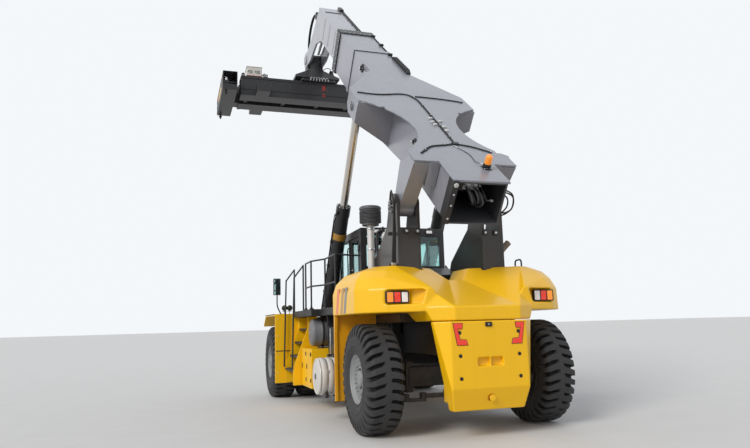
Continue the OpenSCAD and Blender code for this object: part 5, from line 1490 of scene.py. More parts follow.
@dataclass(frozen=True)
class IntakeDress:
    """The finned pre-cleaner on its light pipe, and the canisters and pipes beside it."""

    at: tuple[float, float] = (1.132, 1.003)
    low: float = 3.34
    high: float = 3.69
    radius: float = 0.195

    def cleaner(self, shop: Workshop) -> None:
        """Turns the pre-cleaner with its fins, and stands it on its pipe."""
        piece = Piece("intake_stack", "chassis")
        x, y = self.at
        profile = [(0, 0), (0.146, 0), (0.15, 0.004), (0.15, 0.04), (0.166, 0.046)]
        for i in range(9):
            z = 0.05 + 0.024 * i
            profile += [(0.166, z), (self.radius - 0.004, z + 0.001), (self.radius, z + 0.004),
                        (self.radius - 0.003, z + 0.01), (0.168, z + 0.012)]
        profile += [
            (0.176, 0.272), (0.192, 0.28), (0.196, 0.3), (0.193, 0.322), (0.172, 0.34), (0.12, 0.349),
            (0, 0.351)]
        piece.turn(profile, (x, y, self.low), UP, GREY, 56)
        piece.bolts([(x, y, self.high - 0.001)], UP, 0.02, 0.014, STEEL)
        piece.turn(
            rod(0.062, 1.392), (x, y, 1.95), UP, ALUMINIUM, 32)
        for z in (2.02, 2.46, 2.9, 3.26):
            piece.turn(
                [(0.062, 0), (0.067, 0.002), (0.069, 0.006), (0.069, 0.03), (0.067, 0.034), (0.062, 0.036)],
                (x, y, z), UP, STEEL, 32)
            piece.block((x - 0.075, y + 0.012, z + 0.018), LEFT, UP, (0.044, 0.016, 0.02), 0.003, STEEL)
        piece.slabs((x - 0.03, y - 0.3, 2.46), (x + 0.03, y - 0.06, 2.5), 0.004)
        rib = [(0.133, z + dz) if dz in (0.0, 0.012) else (0.1365, z + dz)
               for z in np.linspace(0.1, 0.52, 5) for dz in (0.0, 0.003, 0.009, 0.012)]
        piece.turn(
            [(0, 0), (0.12, 0), (0.133, 0.014)] + rib + [(0.133, 0.6), (0.118, 0.628), (0.1, 0.634),
             (0.098, 0.676), (0.08, 0.68), (0, 0.68)], (1.45, 0.48, 2.6), UP, ALUMINIUM, 48)
        piece.turn(
            [(0, 0), (0.075, 0), (0.088, 0.012), (0.088, 0.06), (0.093, 0.064), (0.093, 0.086), (0.088, 0.09),
             (0.088, 0.56),
             (0.093, 0.564), (0.093, 0.586), (0.088, 0.59), (0.086, 0.63), (0.06, 0.668), (0.028, 0.676),
             (0.028, 0.72), (0, 0.72)], (0.86, 0.8, 2.52), UP, ALUMINIUM, 40)
        piece.slabs((0.8, 0.7, 2.76), (0.92, 0.73, 2.8), 0.004)
        piece.tube(bend([(1.0, 0.93, 2.5), (1.0, 0.93, 3.2), (0.93, 0.86, 3.24)], 0.06), 0.024, HOSE, 14)
        for z in (2.66, 3.12):
            piece.turn(
                [(0.134, 0), (0.139, 0.002), (0.139, 0.038), (0.134, 0.04)], (1.45, 0.48, z), UP, BLACK, 48,
                True)
            piece.block((1.34, 0.58, z + 0.02), (1, 1, 0), UP, (0.03, 0.02, 0.03), 0.003, STEEL)
        piece.hose(curve([(1.36, 0.62, 3.05), (1.3, 0.72, 3.2), (1.24, 0.86, 3.1), (1.2, 0.93, 2.75)]), 0.02)
        piece.build(shop, replaces=("air_cleaner",))

    def build(self, shop: Workshop) -> None:
        """Dresses the intake."""
        self.cleaner(shop)


@dataclass(frozen=True)
class LiftDress:
    """One lift cylinder: its amber band, clamps, pipe ends, gland bolts and the hoses at its foot."""

    hand: float
    foot: tuple[float, float] = (4.58, 1.3)
    side: float = 1.06
    barrel: float = 0.135
    length: float = 3.28

    def barrel_zone(self, points: np.ndarray, normals: np.ndarray) -> np.ndarray:
        """Returns 1 on the band and 0 elsewhere."""
        return ((np.abs(points[:, 0] - 2.62) < 0.074) & (np.hypot(points[:, 1],
            points[:, 2]) > 0.1385)).astype(int)

    def rod_zone(self, points: np.ndarray, normals: np.ndarray) -> np.ndarray:
        """Returns 1 on the eye and 0 on the rod."""
        return (points[:, 0] > 5.17).astype(int)

    def build(self, shop: Workshop) -> None:
        """Dresses the barrel and the rod."""
        name = "left" if self.hand > 0 else "right"
        here = Station(REAR_AXLE_X + self.foot[0], self.hand * self.side, self.foot[1], LIFT_TILT)
        shop.refine(
            f"lift_barrel_{name}", Finishes.black, Finishes.band, edge=0.004, station=here,
            zone=self.barrel_zone)
        shop.refine(
            f"lift_rod_{name}", Finishes.chrome, Finishes.black, edge=0.004, station=here, zone=self.rod_zone)
        piece = Piece(f"lift_fittings_{name}", f"lift_barrel_{name}", here)
        r, end, out = self.barrel, self.length, self.hand * 0.157
        piece.bolts(piece.ring_of(10, 0.122, (end - 0.001, 0, 0), AHEAD), AHEAD, 0.014, 0.012, STEEL)
        piece.turn(
            [(0.0805, 0), (0.1, 0), (0.102, 0.006), (0.096, 0.016), (0.0805, 0.018)], (end - 0.001, 0, 0),
            AHEAD, HOSE, 40, True)
        for x in (0.62, 1.25, 1.88, 2.44):
            piece.turn(
                [(r - 0.002, 0), (r + 0.005, 0.002), (r + 0.006, 0.006), (r + 0.006, 0.04), (r + 0.005, 0.044),
                 (r - 0.002, 0.046)], (x, 0, 0), AHEAD, BLACK, 48, True)
            piece.block((x + 0.023, out * 0.985, 0), AHEAD, (0, self.hand, 0), (0.052, 0.062, 0.05), 0.005)
            piece.bolts(
                [(x + 0.023, out + self.hand * 0.018, z) for z in (-0.021, 0.021)], (0, self.hand, 0), 0.008,
                0.007, STEEL)
        piece.turn(
            [(0, 0), (0.024, 0), (0.024, 0.03), (0.019, 0.034), (0.019, 0.05), (0, 0.05)], (2.985, out, 0),
            AHEAD, STEEL, 20)
        piece.tube(
            bend([(3.02, out, 0), (3.1, out, 0), (3.1, out, 0.05), (3.15, out * 0.9, 0.09)], 0.03), 0.013,
            BLACK, 12)
        piece.block((3.165, out * 0.86, 0.085), AHEAD, (0, self.hand, 0), (0.07, 0.06, 0.06), 0.006)
        piece.block((0.3, out * 0.96, 0.0), AHEAD, (0, self.hand, 0), (0.13, 0.085, 0.075), 0.008)
        piece.bolts([(0.25, out * 0.96, 0.038), (0.35, out * 0.96, 0.038)], UP, 0.014, 0.012, STEEL)
        piece.tube(np.array([(0.35, out, -0.03), (2.8, out, -0.03)]), 0.008, STEEL, 8)
        piece.bolts([(0.0, 0.0, 0.1145)], UP, 0.008, 0.014, STEEL)
        piece.build(shop)


@dataclass(frozen=True)
class HeadDress:
    """The inner boom's hose guide and head, the hanger's slew drives, and the slew ring's teeth."""

    teeth: int = 96
    pin: tuple[float, float] = (12.0, -1.15)
    cheek: float = 0.3

    def zone(self, points: np.ndarray, normals: np.ndarray) -> np.ndarray:
        """Returns 1 inside the box, which takes painted shade, and 0 outside."""
        s, y, t = points.T
        return ((np.abs(y) < 0.325) & (t < 0.84) & (t > np.interp(s, [3.55, 5.05],
            [0.34, 0.11]) + 0.02) & (s < 10.4)).astype(int)

    def guide(self, shop: Workshop) -> None:
        """Runs the hoses along the right edge, over the head and down to the pivot."""
        piece = Piece("head_lines", "boom_inner", BOOM)
        route = [(7.55, 0.884), (10.6, 0.884), (11.12, 0.6), (11.55, -0.22), (11.98, -0.8), (12.06, -0.96)]
        for y in (-0.305, -0.277):
            line = bend([(s, y + (0.02 if s > 11 else 0.0), t) for s, t in route], 0.2)
            piece.tube(line, 0.0125, HOSE, 10)
        line = bend([(s, -0.291, t - 0.004) for s, t in route[:2]], 0.2)
        piece.saddles(line, 0.6, (0.034, 0.085, 0.036), paint=BLACK)
        piece.slabs((7.56, -0.342, 0.862), (10.3, -0.326, 0.9), 0.003)
        piece.slabs((10.3, -0.345, 0.86), (10.62, -0.215, 0.945), 0.012)
        piece.slabs((10.02, -0.22, 0.862), (10.1, 0.26, 0.878), 0.004)
        piece.block((11.42, 0.0, 0.43), (0.47, 0, -0.88), (0.88, 0, 0.47), (0.15, 0.5, 0.22), 0.01)
        piece.block((11.3, 0.0, 0.4), (0.47, 0, -0.88), (0.88, 0, 0.47), (0.3, 0.3, 0.05), 0.008)
        piece.bolts([(11.516, y, 0.482) for y in (-0.17, 0.0, 0.17)], (0.88, 0, 0.47), 0.016, 0.012, STEEL)
        gusset = [(11.5, -0.2), (11.74, -0.26), (12.1, -0.74), (12.12, -0.98), (11.92, -0.82)]
        for y in (-0.155, 0.125):
            piece.plate(gusset, y, y + 0.03, 1, 0.004, BLACK)
        piece.slabs((11.62, -0.125, -0.42), (11.7, 0.125, -0.34), 0.006)
        s, t = self.pin
        for hand in (-1.0, 1.0):
            piece.turn(
                [(0, 0), (0.128, 0), (0.134, -0.006), (0.134, -0.016), (0, -0.016)],
                (s, hand * (self.cheek + 0.0005), t), (0, hand, 0), LIGHT, 40)
            piece.bolts(
                piece.ring_of(8, 0.11, (s, hand * self.cheek, t), (0, hand, 0)), (0, hand, 0), 0.013, 0.011,
                STEEL)
        for s in np.arange(8.1, 10.2, 0.7):
            piece.slabs((s - 0.012, 0.345, 0.2), (s + 0.012, 0.358, 0.8), 0.004, LIGHT)
            piece.slabs((s - 0.012, -0.358, 0.2), (s + 0.012, -0.345, 0.8), 0.004, LIGHT)
        piece.build(shop)
        for i, y in enumerate((0.205, 0.175, -0.175, -0.205)):
            shop.free_hose(
                f"head_hose_{i + 1}", "boom_inner",
                [(11.5, y, 0.43), (11.66, 1.15 * y, 0.4), (11.86, 1.25 * y, 0.16), (12.06, 1.2 * y, -0.28),
                 (12.18, y, -0.74), (12.14, 0.8 * y, -0.94)], 0.021, BOOM)

    def drives(self, shop: Workshop) -> None:
        """Stands the slew motors on the hanger and cuts the ring's teeth."""
        piece = Piece("slew_drives", "hanger", HEAD)
        for x, y in ((0.36, 0.5), (-0.36, -0.5)):
            profile = [
                (0, 0), (0.105, 0), (0.108, 0.01), (0.108, 0.03), (0.088, 0.036), (0.088, 0.16), (0.094, 0.166),
                (0.094, 0.196), (0.074, 0.202), (0.07, 0.32), (0.058, 0.336), (0, 0.336)]
            piece.turn(profile, (x, y, -0.8), UP, BLACK, 36)
            piece.bolts(piece.ring_of(8, 0.098, (x, y, -0.77), UP), UP, 0.01, 0.009, STEEL)
            piece.hose(
                curve([(x, y, -0.5), (0.9 * x, 0.9 * y, -0.36), (0.6 * x, 0.62 * y, -0.34),
                       (0.42 * x, 0.42 * y, -0.46)]), 0.012)
        for y in (-0.245, 0.245):
            piece.slabs((-0.2, y - 0.012, -0.42), (0.2, y + 0.012, -0.06), 0.006)
        piece.turn(
            [(0, 0), (0.03, 0), (0.03, 0.36), (0.02, 0.37), (0, 0.37)], (0.4, 0.02, -0.44), (0.1, 0, 1), BLACK,
            24)
        piece.turn(rod(0.016, 0.3), (0.437, 0.02, -0.075), (0.1, 0, 1), CHROME, 20)
        piece.turn(
            [(0, 0), (0.04, 0), (0.044, 0.006), (0.044, 0.034), (0, 0.04)], (0.468, 0.0, 0.235), LEFT, WHITE,
            24)
        piece.build(shop)
        ring = Piece("slew_teeth", "rotator", HEAD)
        a = np.linspace(0, 2 * math.pi, 4 * self.teeth, endpoint=False)
        r = np.tile([0.594, 0.614, 0.614, 0.594], self.teeth)
        low, high = -0.935, -0.856
        levels = ((0.955, low), (1.0, low + 0.004), (1.0, high - 0.004), (0.955, high))
        rings = [
            np.stack([q * r * np.cos(a), q * r * np.sin(a), np.full(len(a), z)], axis=1) for q, z in levels]
        ring.grid(np.stack(rings), STEEL, around=True, along=True)
        ring.slabs((-0.74, -0.3, -0.945), (-0.64, 0.3, -0.87), 0.008)
        for y in np.linspace(-0.24, 0.24, 7):
            ring.bolts([(-0.739, y + 0.034, -0.9)], BACK, 0.012, 0.01, STEEL)
            ring.hose(
                curve([(-0.735, y, -0.905), (-0.79, 1.05 * y, -0.905), (-0.835, 1.15 * y, -0.955),
                       (-0.8, 1.2 * y, -1.005)]), 0.012)
        ring.bolts(
            [(x, y, -0.9395) for x in (-0.7, -0.45, 0.45, 0.7) for y in (-0.5, 0.5)], UP, 0.026, 0.02, STEEL)
        ring.build(shop)

    def build(self, shop: Workshop) -> None:
        """Dresses the inner boom, the hanger and the slew ring."""
        # The inside of the inner boom's box takes painted shade through the zone.
        shop.refine(
            "boom_inner", Finishes.boom_light, Finishes.inside, edge=0.01, station=BOOM, zone=self.zone)
        self.guide(shop)
        self.drives(shop)


@dataclass(frozen=True)
class SpreaderDress:
    """The spreader's cabinet, hoses, pads, lamps, lugs and twistlock housings."""

    lane: float = 0.42
    top: float = -1.0108
    low: float = -1.63
    half: float = 2.45

    def cabinet(self, shop: Workshop) -> None:
        """Builds the white cabinet with its lid, two doors, louvres and latches."""
        piece = Piece("spreader_cabinet_doors", "spreader", HEAD)
        x0, x1, y0, y1, z0, z1 = -0.67, -0.19, 1.8, 2.27, self.top, self.top + 0.33
        c = CABINET
        piece.slabs((x0 + 0.006, y0 + 0.006, z0), (x1 - 0.006, y1 - 0.006, z1 - 0.012), 0.006, c)
        piece.slabs((x0 - 0.008, y0 - 0.008, z1 - 0.026), (x1 + 0.008, y1 + 0.008, z1), 0.008, c)
        for a, b in ((y0 + 0.016, y0 + 0.23), (y0 + 0.24, y1 - 0.016)):
            piece.slabs((x0 - 0.004, a, z0 + 0.03), (x0 + 0.012, b, z1 - 0.04), 0.004, c)
            for z in np.linspace(z0 + 0.09, z0 + 0.19, 5):
                piece.slabs((x0 - 0.01, a + 0.05, z), (x0 - 0.002, b - 0.05, z + 0.01), 0.002, GREY)
            piece.slabs((x0 - 0.018, b - 0.03, z0 + 0.13), (x0 - 0.002, b - 0.014, z0 + 0.19), 0.003, PLASTIC)
        piece.slabs((x0 - 0.01, y0 - 0.01, z0 - 0.001), (x1 + 0.01, y1 + 0.01, z0 + 0.024), 0.004)
        piece.slabs((x0 - 0.004, y0 + 0.002, z0 + 0.022), (x1 + 0.004, y1 - 0.002, z0 + 0.032), 0.002, RED)
        piece.bolts(
            [(x, y, z1 - 0.001) for x in (x0 + 0.04, x1 - 0.04) for y in (y0 + 0.04, y1 - 0.04)], UP, 0.009,
            0.006, STEEL)
        piece.build(shop, replaces=("spreader_cabinet",))

    def frame(self, shop: Workshop) -> None:
        """Adds the hose tray, the lugs, the pads and the marks on the frame, and the arched hoses."""
        piece = Piece("spreader_fittings", "spreader", HEAD)
        x, t = self.lane, self.top
        for sign in (-1, 1):
            for y in np.arange(-2.1, 2.2, 0.6):
                piece.slabs((sign * (x + 0.259) - 0.006, y - 0.012, self.low + 0.05),
                            (sign * (x + 0.259) + 0.006, y + 0.012, t - 0.05), 0.003, BLACK)
            rail = sign * (x + 0.262)
            piece.slabs(
                (rail - 0.014, -self.half + 0.02, self.low + 0.18),
                (rail + 0.014, self.half - 0.02, self.low + 0.2), 0.004)
            piece.slabs(
                (rail - 0.014, -self.half + 0.02, t - 0.08), (rail + 0.014, self.half - 0.02, t - 0.06), 0.004)
            for y in (-self.half + 0.02, self.half - 0.1):
                piece.slabs(
                    (sign * x - 0.268, y, self.low - 0.004), (sign * x + 0.268, y + 0.08, self.low + 0.03),
                    0.005)
                piece.slabs((sign * x - 0.268, y, t - 0.03), (sign * x + 0.268, y + 0.08, t + 0.014), 0.005)
                piece.bolts(
                    [(sign * x + d, y + 0.04, t + 0.013) for d in (-0.2, -0.07, 0.07, 0.2)], UP, 0.014, 0.012,
                    STEEL)
        for y in (-2.25, 2.25, -1.65, 1.68):
            for sign in (-1, 1):
                lug = [(y - 0.09, t - 0.002), (y + 0.09, t - 0.002), (y + 0.05, t + 0.15), (y - 0.05, t + 0.15)]
                if not (y > 1.75 and sign < 0):
                    piece.plate(lug, sign * (x + 0.14) - 0.018, sign * (x + 0.14) + 0.018, 0, 0.004)
                    piece.turn(
                        [(0.022, -0.024), (0.04, -0.024), (0.042, 0.0), (0.04, 0.024), (0.022, 0.024)],
                        (sign * (x + 0.14), y, t + 0.1), AHEAD, STEEL, 24, True)
        for low, high in ((0.14, 0.24), (0.34, 0.52)):
            piece.slabs((-x - 0.268, -0.21, self.low + low), (-x - 0.258, -0.11, self.low + high), 0.003, MARK)
        for y in np.linspace(-1.45, 1.45, 4):
            piece.slabs((-0.15, y - 0.05, t - 0.25), (0.15, y + 0.05, t - 0.2), 0.006)
        for i in range(5):
            z, xx = t + 0.022 + 0.018 * (i % 2), -x + 0.16 + 0.026 * i
            piece.hose(curve([(xx, 1.78, z), (xx + 0.04, 1.68, z), (-0.11 + 0.045 * i, 1.6, z - 0.01),
                              (-0.09 + 0.045 * i, 1.52, t - 0.08),
                              (-0.08 + 0.04 * i, 1.36, t - 0.17), (-0.08 + 0.04 * i, 0.9, t - 0.186),
                              (-0.08 + 0.04 * i, 0.46, t - 0.186)]), 0.0115)
        piece.block((-0.43, 1.62, t + 0.1), UP, LEFT, (0.2, 0.05, 0.05), 0.005)
        for y in (2.38, -2.38):
            for sign in (-1, 1):
                piece.turn(
                    [(0, 0), (0.045, 0), (0.052, 0.01), (0.052, 0.06), (0.046, 0.066), (0, 0.066)],
                    (sign * (x + 0.24), y, t + 0.07), (0.25 * sign, 0, -1), PLASTIC, 28)
                piece.turn(
                    [(0, 0), (0.044, 0), (0.043, 0.004), (0, 0.007)],
                    (sign * (x + 0.24 + 0.0157), y, t + 0.007), (0.25 * sign, 0, -1), CLEAR, 28)
                piece.slabs(
                    (sign * (x + 0.21) - 0.01, y - 0.01, t - 0.01),
                    (sign * (x + 0.21) + 0.01, y + 0.01, t + 0.05), 0.003)
        piece.build(shop)
        for i, (rise, reach) in enumerate(((0.27, 0.225), (0.23, 0.2), (0.19, 0.175))):
            shop.free_hose(
                f"cabinet_hose_{i + 1}", "spreader",
                [(-0.3 - 0.07 * i, 1.796, t + 0.16), (-0.31 - 0.07 * i, 1.7, t + rise - 0.02),
                 (-0.33 - 0.06 * i, 1.796 - 0.55 * reach, t + rise - 0.02),
                 (-0.35 - 0.06 * i, 1.796 - 0.9 * reach, t + 0.12),
                 (-0.36 - 0.06 * i, 1.796 - reach, t + 0.022)], 0.013, HEAD)

    def arm(self, shop: Workshop, name: str, hand: float) -> None:
        """Adds the twistlock housings, the guides' plates and the sensors at one arm's end."""
        piece = Piece(f"arm_fittings_{name}", f"arm_{name}", HEAD)
        y, z0, z1 = 2.927, -1.71, -1.13
        for sign in (-1, 1):
            x = sign * 1.1295
            piece.slabs((x - 0.075, y - 0.085, z0 + 0.179), (x + 0.075, y + 0.085, z0 + 0.3), 0.008)
            piece.turn(
                [(0, 0), (0.056, 0), (0.06, 0.006), (0.06, 0.05), (0.04, 0.056), (0.04, 0.1), (0, 0.104)],
                (x, y, z0 + 0.298), UP, STEEL, 28)
            piece.block((x - sign * 0.1, y, z0 + 0.36), AHEAD, UP, (0.2, 0.035, 0.02), 0.004, STEEL)
            piece.slabs((x - 0.085, 3.028, z0 + 0.02), (x + 0.085, 3.036, z0 + 0.46), 0.003)
            piece.bolts(
                [(x + dx, 3.035, z0 + dz) for dx in (-0.055, 0.055) for dz in (0.06, 0.24, 0.42)], LEFT, 0.012,
                0.01, STEEL)
            piece.slabs((sign * 1.222 - 0.004, 2.64, z0 + 0.22), (sign * 1.222 + 0.004, 2.99, z0 + 0.24), 0.002)
            piece.turn(
                [(0, 0), (0.03, 0), (0.032, 0.006), (0.03, 0.018), (0, 0.02)], (sign * 0.95, 3.029, z1 - 0.12),
                LEFT, RED if sign > 0 else AMBER, 24)
        for x in np.arange(-0.9, 0.95, 0.3):
            piece.slabs((x - 0.008, 3.028, z0 + 0.03), (x + 0.008, 3.034, z1 - 0.03), 0.002)
        piece.slabs((-0.55, 3.028, z0 + 0.2), (0.55, 3.033, z0 + 0.36), 0.002, YELLOW)
        piece.tube(np.array([(0.62, 2.68, z1 + 0.001), (0.62, 2.68, z1 + 0.16)]), 0.01, STEEL, 10)
        piece.hose(
            curve([(-0.9, 2.8, z1 + 0.002), (-0.6, 2.76, z1 + 0.05), (-0.2, 2.74, z1 + 0.018),
                   (0.3, 2.7, z1 + 0.012)]), 0.011)
        if hand < 0:
            for i, points in enumerate(piece.points):
                piece.points[i] = points * np.array([-1.0, -1.0, 1.0])
        piece.build(shop)

    def build(self, shop: Workshop) -> None:
        """Dresses the whole spreader."""
        self.cabinet(shop)
        self.frame(shop)
        self.arm(shop, "left", 1.0)
        self.arm(shop, "right", -1.0)


@dataclass(frozen=True)
class SideDress:
    """Both flanks: steps, tanks, boxes, the ribbed canisters, fenders, mirrors, lamps and rail feet."""

    deck: float = 1.95

    def step_zone(self, points: np.ndarray, normals: np.ndarray) -> np.ndarray:
        """Returns 1 on the four treads and 0 on the plates round them."""
        x, y, z = points.T
        level = np.abs((z - 0.7075 + 0.14) % 0.28 - 0.14) < 0.019
        return (level & (np.abs(y) > 1.383) & (x > 3.93) & (x < 4.92) & (z > 0.65) & (z < 1.6)).astype(int)

    def tank_zone(self, points: np.ndarray, normals: np.ndarray) -> np.ndarray:
        """Returns 1 on the yellow boxes and 0 on the tanks."""
        return (points[:, 0] > 2.955).astype(int)

    def climb(self, shop: Workshop) -> None:
        """Lays open treads with raised teeth, and bolts the rails' feet."""
        shop.refine("access_steps", Finishes.yellow, Finishes.walk, edge=0.004, zone=self.step_zone)
        piece = Piece("step_treads", "chassis")
        for i in range(4):
            z, out = 0.725 + 0.28 * i, 1.88 - 0.11 * i
            for y in np.arange(1.42, out - 0.02, 0.05):
                piece.slabs((3.97, y, z - 0.002), (4.89, y + 0.012, z + 0.009), 0.002, TREAD)
            piece.slabs((3.965, out - 0.004, z - 0.038), (4.895, out + 0.006, z + 0.01), 0.003, TREAD)
            piece.bolts([(x, out - 0.03, z - 0.018) for x in (3.967, 4.898)], AHEAD, 0.01, 0.006, STEEL)
        for x, y in ((3.54, 1.68), (3.0, 1.68), (2.56, 1.5), (1.75, 1.5)):
            piece.slabs(
                (x - 0.045, y - 0.045, self.deck - 0.001), (x + 0.045, y + 0.045, self.deck + 0.01), 0.003)
            piece.bolts(
                [(x + a, y + b, self.deck + 0.009) for a in (-0.03, 0.03) for b in (-0.03, 0.03)], UP, 0.008,
                0.007, STEEL)
            piece.turn(
                [(0.0205, 0), (0.027, 0.002), (0.027, 0.03), (0.0205, 0.034)], (x, y, self.deck + 0.008), UP,
                BLACK, 20, True)
        piece.mirror()
        piece.build(shop)

    def stores(self, shop: Workshop) -> None:
        """Builds the drums and canisters as turned shells, and hangs doors, straps and caps on the boxes."""
        shop.refine("side_tanks", Finishes.black, Finishes.yellow, edge=0.012, zone=self.tank_zone)
        piece = Piece("air_drums", "chassis")
        x, z, r = 3.24, 1.49, 0.27
        drum = [(0, 0), (0.18, 0), (0.24, 0.012), (0.262, 0.034), (r, 0.07), (r, 0.2), (r + 0.004, 0.206),
                (r + 0.004, 0.214),
                (r, 0.22), (r, 0.52), (r + 0.004, 0.526), (r + 0.004, 0.534), (r, 0.54), (r, 0.65),
                (0.262, 0.69), (0.236, 0.712),
                (0.222, 0.708), (0.218, 0.716), (0.15, 0.726), (0.06, 0.729), (0, 0.73)]
        piece.turn(drum, (x, 0.93, z), LEFT, DRUM, 64)
        piece.turn(
            [(0, 0), (0.026, 0), (0.026, 0.012), (0.014, 0.014), (0.014, 0.03), (0, 0.03)], (x, 1.655, z), LEFT,
            STEEL, 24)
        for y in (1.08, 1.42):
            piece.turn(
                [(r + 0.001, 0), (r + 0.006, 0.002), (r + 0.006, 0.038), (r + 0.001, 0.04)], (x, y, z), LEFT,
                BLACK, 64, True)
            piece.block((x, y + 0.02, z - r - 0.02), AHEAD, UP, (0.3, 0.05, 0.05), 0.006)
        x, y, z, r = 1.615, 1.285, 0.76, 0.315
        can = [(0, 0), (0.2, 0), (0.27, 0.006), (0.296, 0.016), (r - 0.01, 0.034)]
        for i in range(5):
            a = 0.04 + 0.112 * i
            can += [(r - 0.006, a), (r, a + 0.008), (r, a + 0.04), (r, a + 0.072), (r - 0.006, a + 0.08),
                    (r - 0.022, a + 0.086), (r - 0.022, a + 0.106)]
        can += [
            (r - 0.006, 0.602), (r - 0.014, 0.616), (0.286, 0.622), (0.276, 0.614), (0.2, 0.618), (0.09, 0.63),
            (0, 0.632)]
        piece.turn(can, (x, y, z), LEFT, CABINET, 72)
        piece.turn(
            [(0, 0), (0.05, 0), (0.054, 0.004), (0.044, 0.012), (0, 0.014)], (x, y + 0.628, z), LEFT, GREY, 32)
        for i in range(4):
            b = y + 0.04 + 0.112 * i + 0.087
            piece.turn(
                [(r - 0.021, b - y), (r - 0.014, b - y + 0.002), (r - 0.014, b - y + 0.016),
                 (r - 0.021, b - y + 0.018)],
                (x, y, z), LEFT, STEEL, 64, True)
            piece.block((x - r + 0.012, b + 0.009, z + 0.1), UP, BACK, (0.05, 0.022, 0.02), 0.003, STEEL)
        for b in (1.42, 1.76):
            piece.slabs((x - 0.2, b - 0.03, z - r - 0.035), (x + 0.2, b + 0.03, z - r + 0.035), 0.006)
        piece.hose(
            curve([(1.62, 1.36, z - r + 0.02), (1.58, 1.46, z - r - 0.03), (1.5, 1.6, z - r - 0.02),
                   (1.44, 1.7, z - r + 0.04)]), 0.012)
        piece.build(shop, replaces=("air_receivers",))
        doors = Piece("box_doors", "chassis")
        for sign, y in ((1, 1.7), (-1, -1.7)):
            for a, b in ((2.99, 3.42), (3.44, 3.87)):
                doors.slabs(
                    (a, y - 0.006 * sign if sign > 0 else y - 0.008, 0.46),
                    (b, y + 0.008 if sign > 0 else y + 0.006, 1.14), 0.004, YELLOW)
                doors.slabs((b - 0.08, y - 0.016, 0.78), (b - 0.03, y + 0.016, 0.88), 0.005, PLASTIC)
                for z in (0.54, 1.04):
                    doors.turn(rod(0.012, 0.07), (a + 0.004, y + 0.01 * sign, z), UP, BLACK, 14)
        doors.turn(
            [(0, 0), (0.062, 0), (0.066, 0.006), (0.066, 0.024), (0.056, 0.036), (0.03, 0.04), (0.03, 0.05),
             (0, 0.05)],
            (2.2, 1.16, 1.589), UP, PLASTIC, 28)
        for x in (2.1, 2.7):
            doors.slabs((x - 0.025, 1.376, 0.9), (x + 0.025, 1.388, 1.57), 0.003, STEEL)
            doors.slabs((x - 0.025, -1.458, 0.64), (x + 0.025, -1.446, 1.57), 0.003, STEEL)
        doors.build(shop)

    def nose(self, shop: Workshop) -> None:
        """Builds the mirrors and the work lamps, and finishes the front fenders' edges."""
        piece = Piece("mirrors_and_lamps", "chassis")
        post = bend([(5.5, 1.88, 1.925), (5.5, 1.965, 2.1), (5.5, 1.965, 2.42)], 0.08)
        piece.tube(post, 0.015, BLACK, 14)
        piece.slabs((5.4, 1.82, 1.909), (5.6, 1.92, 1.925), 0.004)
        piece.slabs((5.488, 1.88, 2.36), (5.538, 2.05, 2.75), 0.02, PLASTIC)
        piece.slabs((5.48, 1.892, 2.47), (5.492, 2.038, 2.738), 0.004, TEAL)
        piece.slabs((5.48, 1.892, 2.372), (5.492, 2.038, 2.452), 0.004, TEAL)
        piece.slabs((5.502, 1.955, 2.4), (5.552, 1.975, 2.6), 0.004)
        for y in (1.71, 1.83):
            piece.tube(np.array([(5.3, y, 1.909), (5.3, y, 1.99)]), 0.012, STEEL, 12)
            piece.slabs((5.27, y - 0.045, 1.972), (5.33, y + 0.045, 1.984), 0.003)
            shell = [(0, 0.088), (0.03, 0.086), (0.05, 0.072), (0.06, 0.05), (0.065, 0.02), (0.065, 0.002),
                     (0.062, 0.0), (0.057, 0.004), (0.054, 0.01), (0.03, 0.006), (0, 0.004)]
            piece.turn(shell, (5.255, y, 2.05), AHEAD, PLASTIC, 36)
            piece.turn([(0, 0), (0.053, 0.0), (0.05, 0.004), (0, 0.007)], (5.262, y, 2.05), BACK, TEAL, 32)
        piece.mirror()
        piece.build(shop, replaces=("mirrors_lamps",))
        trim = Piece("fender_trim", "chassis")
        for start, paint in ((0.02, STRIPE), (0.3, BAND), (0.5, RIM)):
            x = 0.86 - start
            trim.plate(
                [(x, 1.8), (x - 0.13, 1.8), (x - 0.26, 2.2), (x - 0.13, 2.2)], 1.728, 1.7325, 1, 0.001, paint)
        trim.slabs((4.984, 1.49, 0.376), (5.036, 2.096, 0.394), 0.006, PLASTIC)
        trim.slabs((4.985, 1.52, 1.08), (4.991, 2.07, 1.1), 0.002, PLASTIC)
        trim.bolts(
            [(4.991, y, z) for y in (1.56, 2.03) for z in (0.62, 1.02, 1.42, 1.8)], BACK, 0.012, 0.009, STEEL)
        trim.slabs((5.03, 2.086, 1.895), (6.5, 2.098, 1.914), 0.004, PLASTIC)
        trim.bolts([(1.085, 1.655, z) for z in (0.5, 1.0, 1.5)], (0, -1, 0), 0.012, 0.008, STEEL)
        trim.slabs((1.056, 1.65, 0.372), (1.114, 1.712, 0.386), 0.005, PLASTIC)
        trim.mirror()
        trim.build(shop)

    def build(self, shop: Workshop) -> None:
        """Dresses both flanks."""
        self.climb(shop)
        self.stores(shop)
        self.nose(shop)


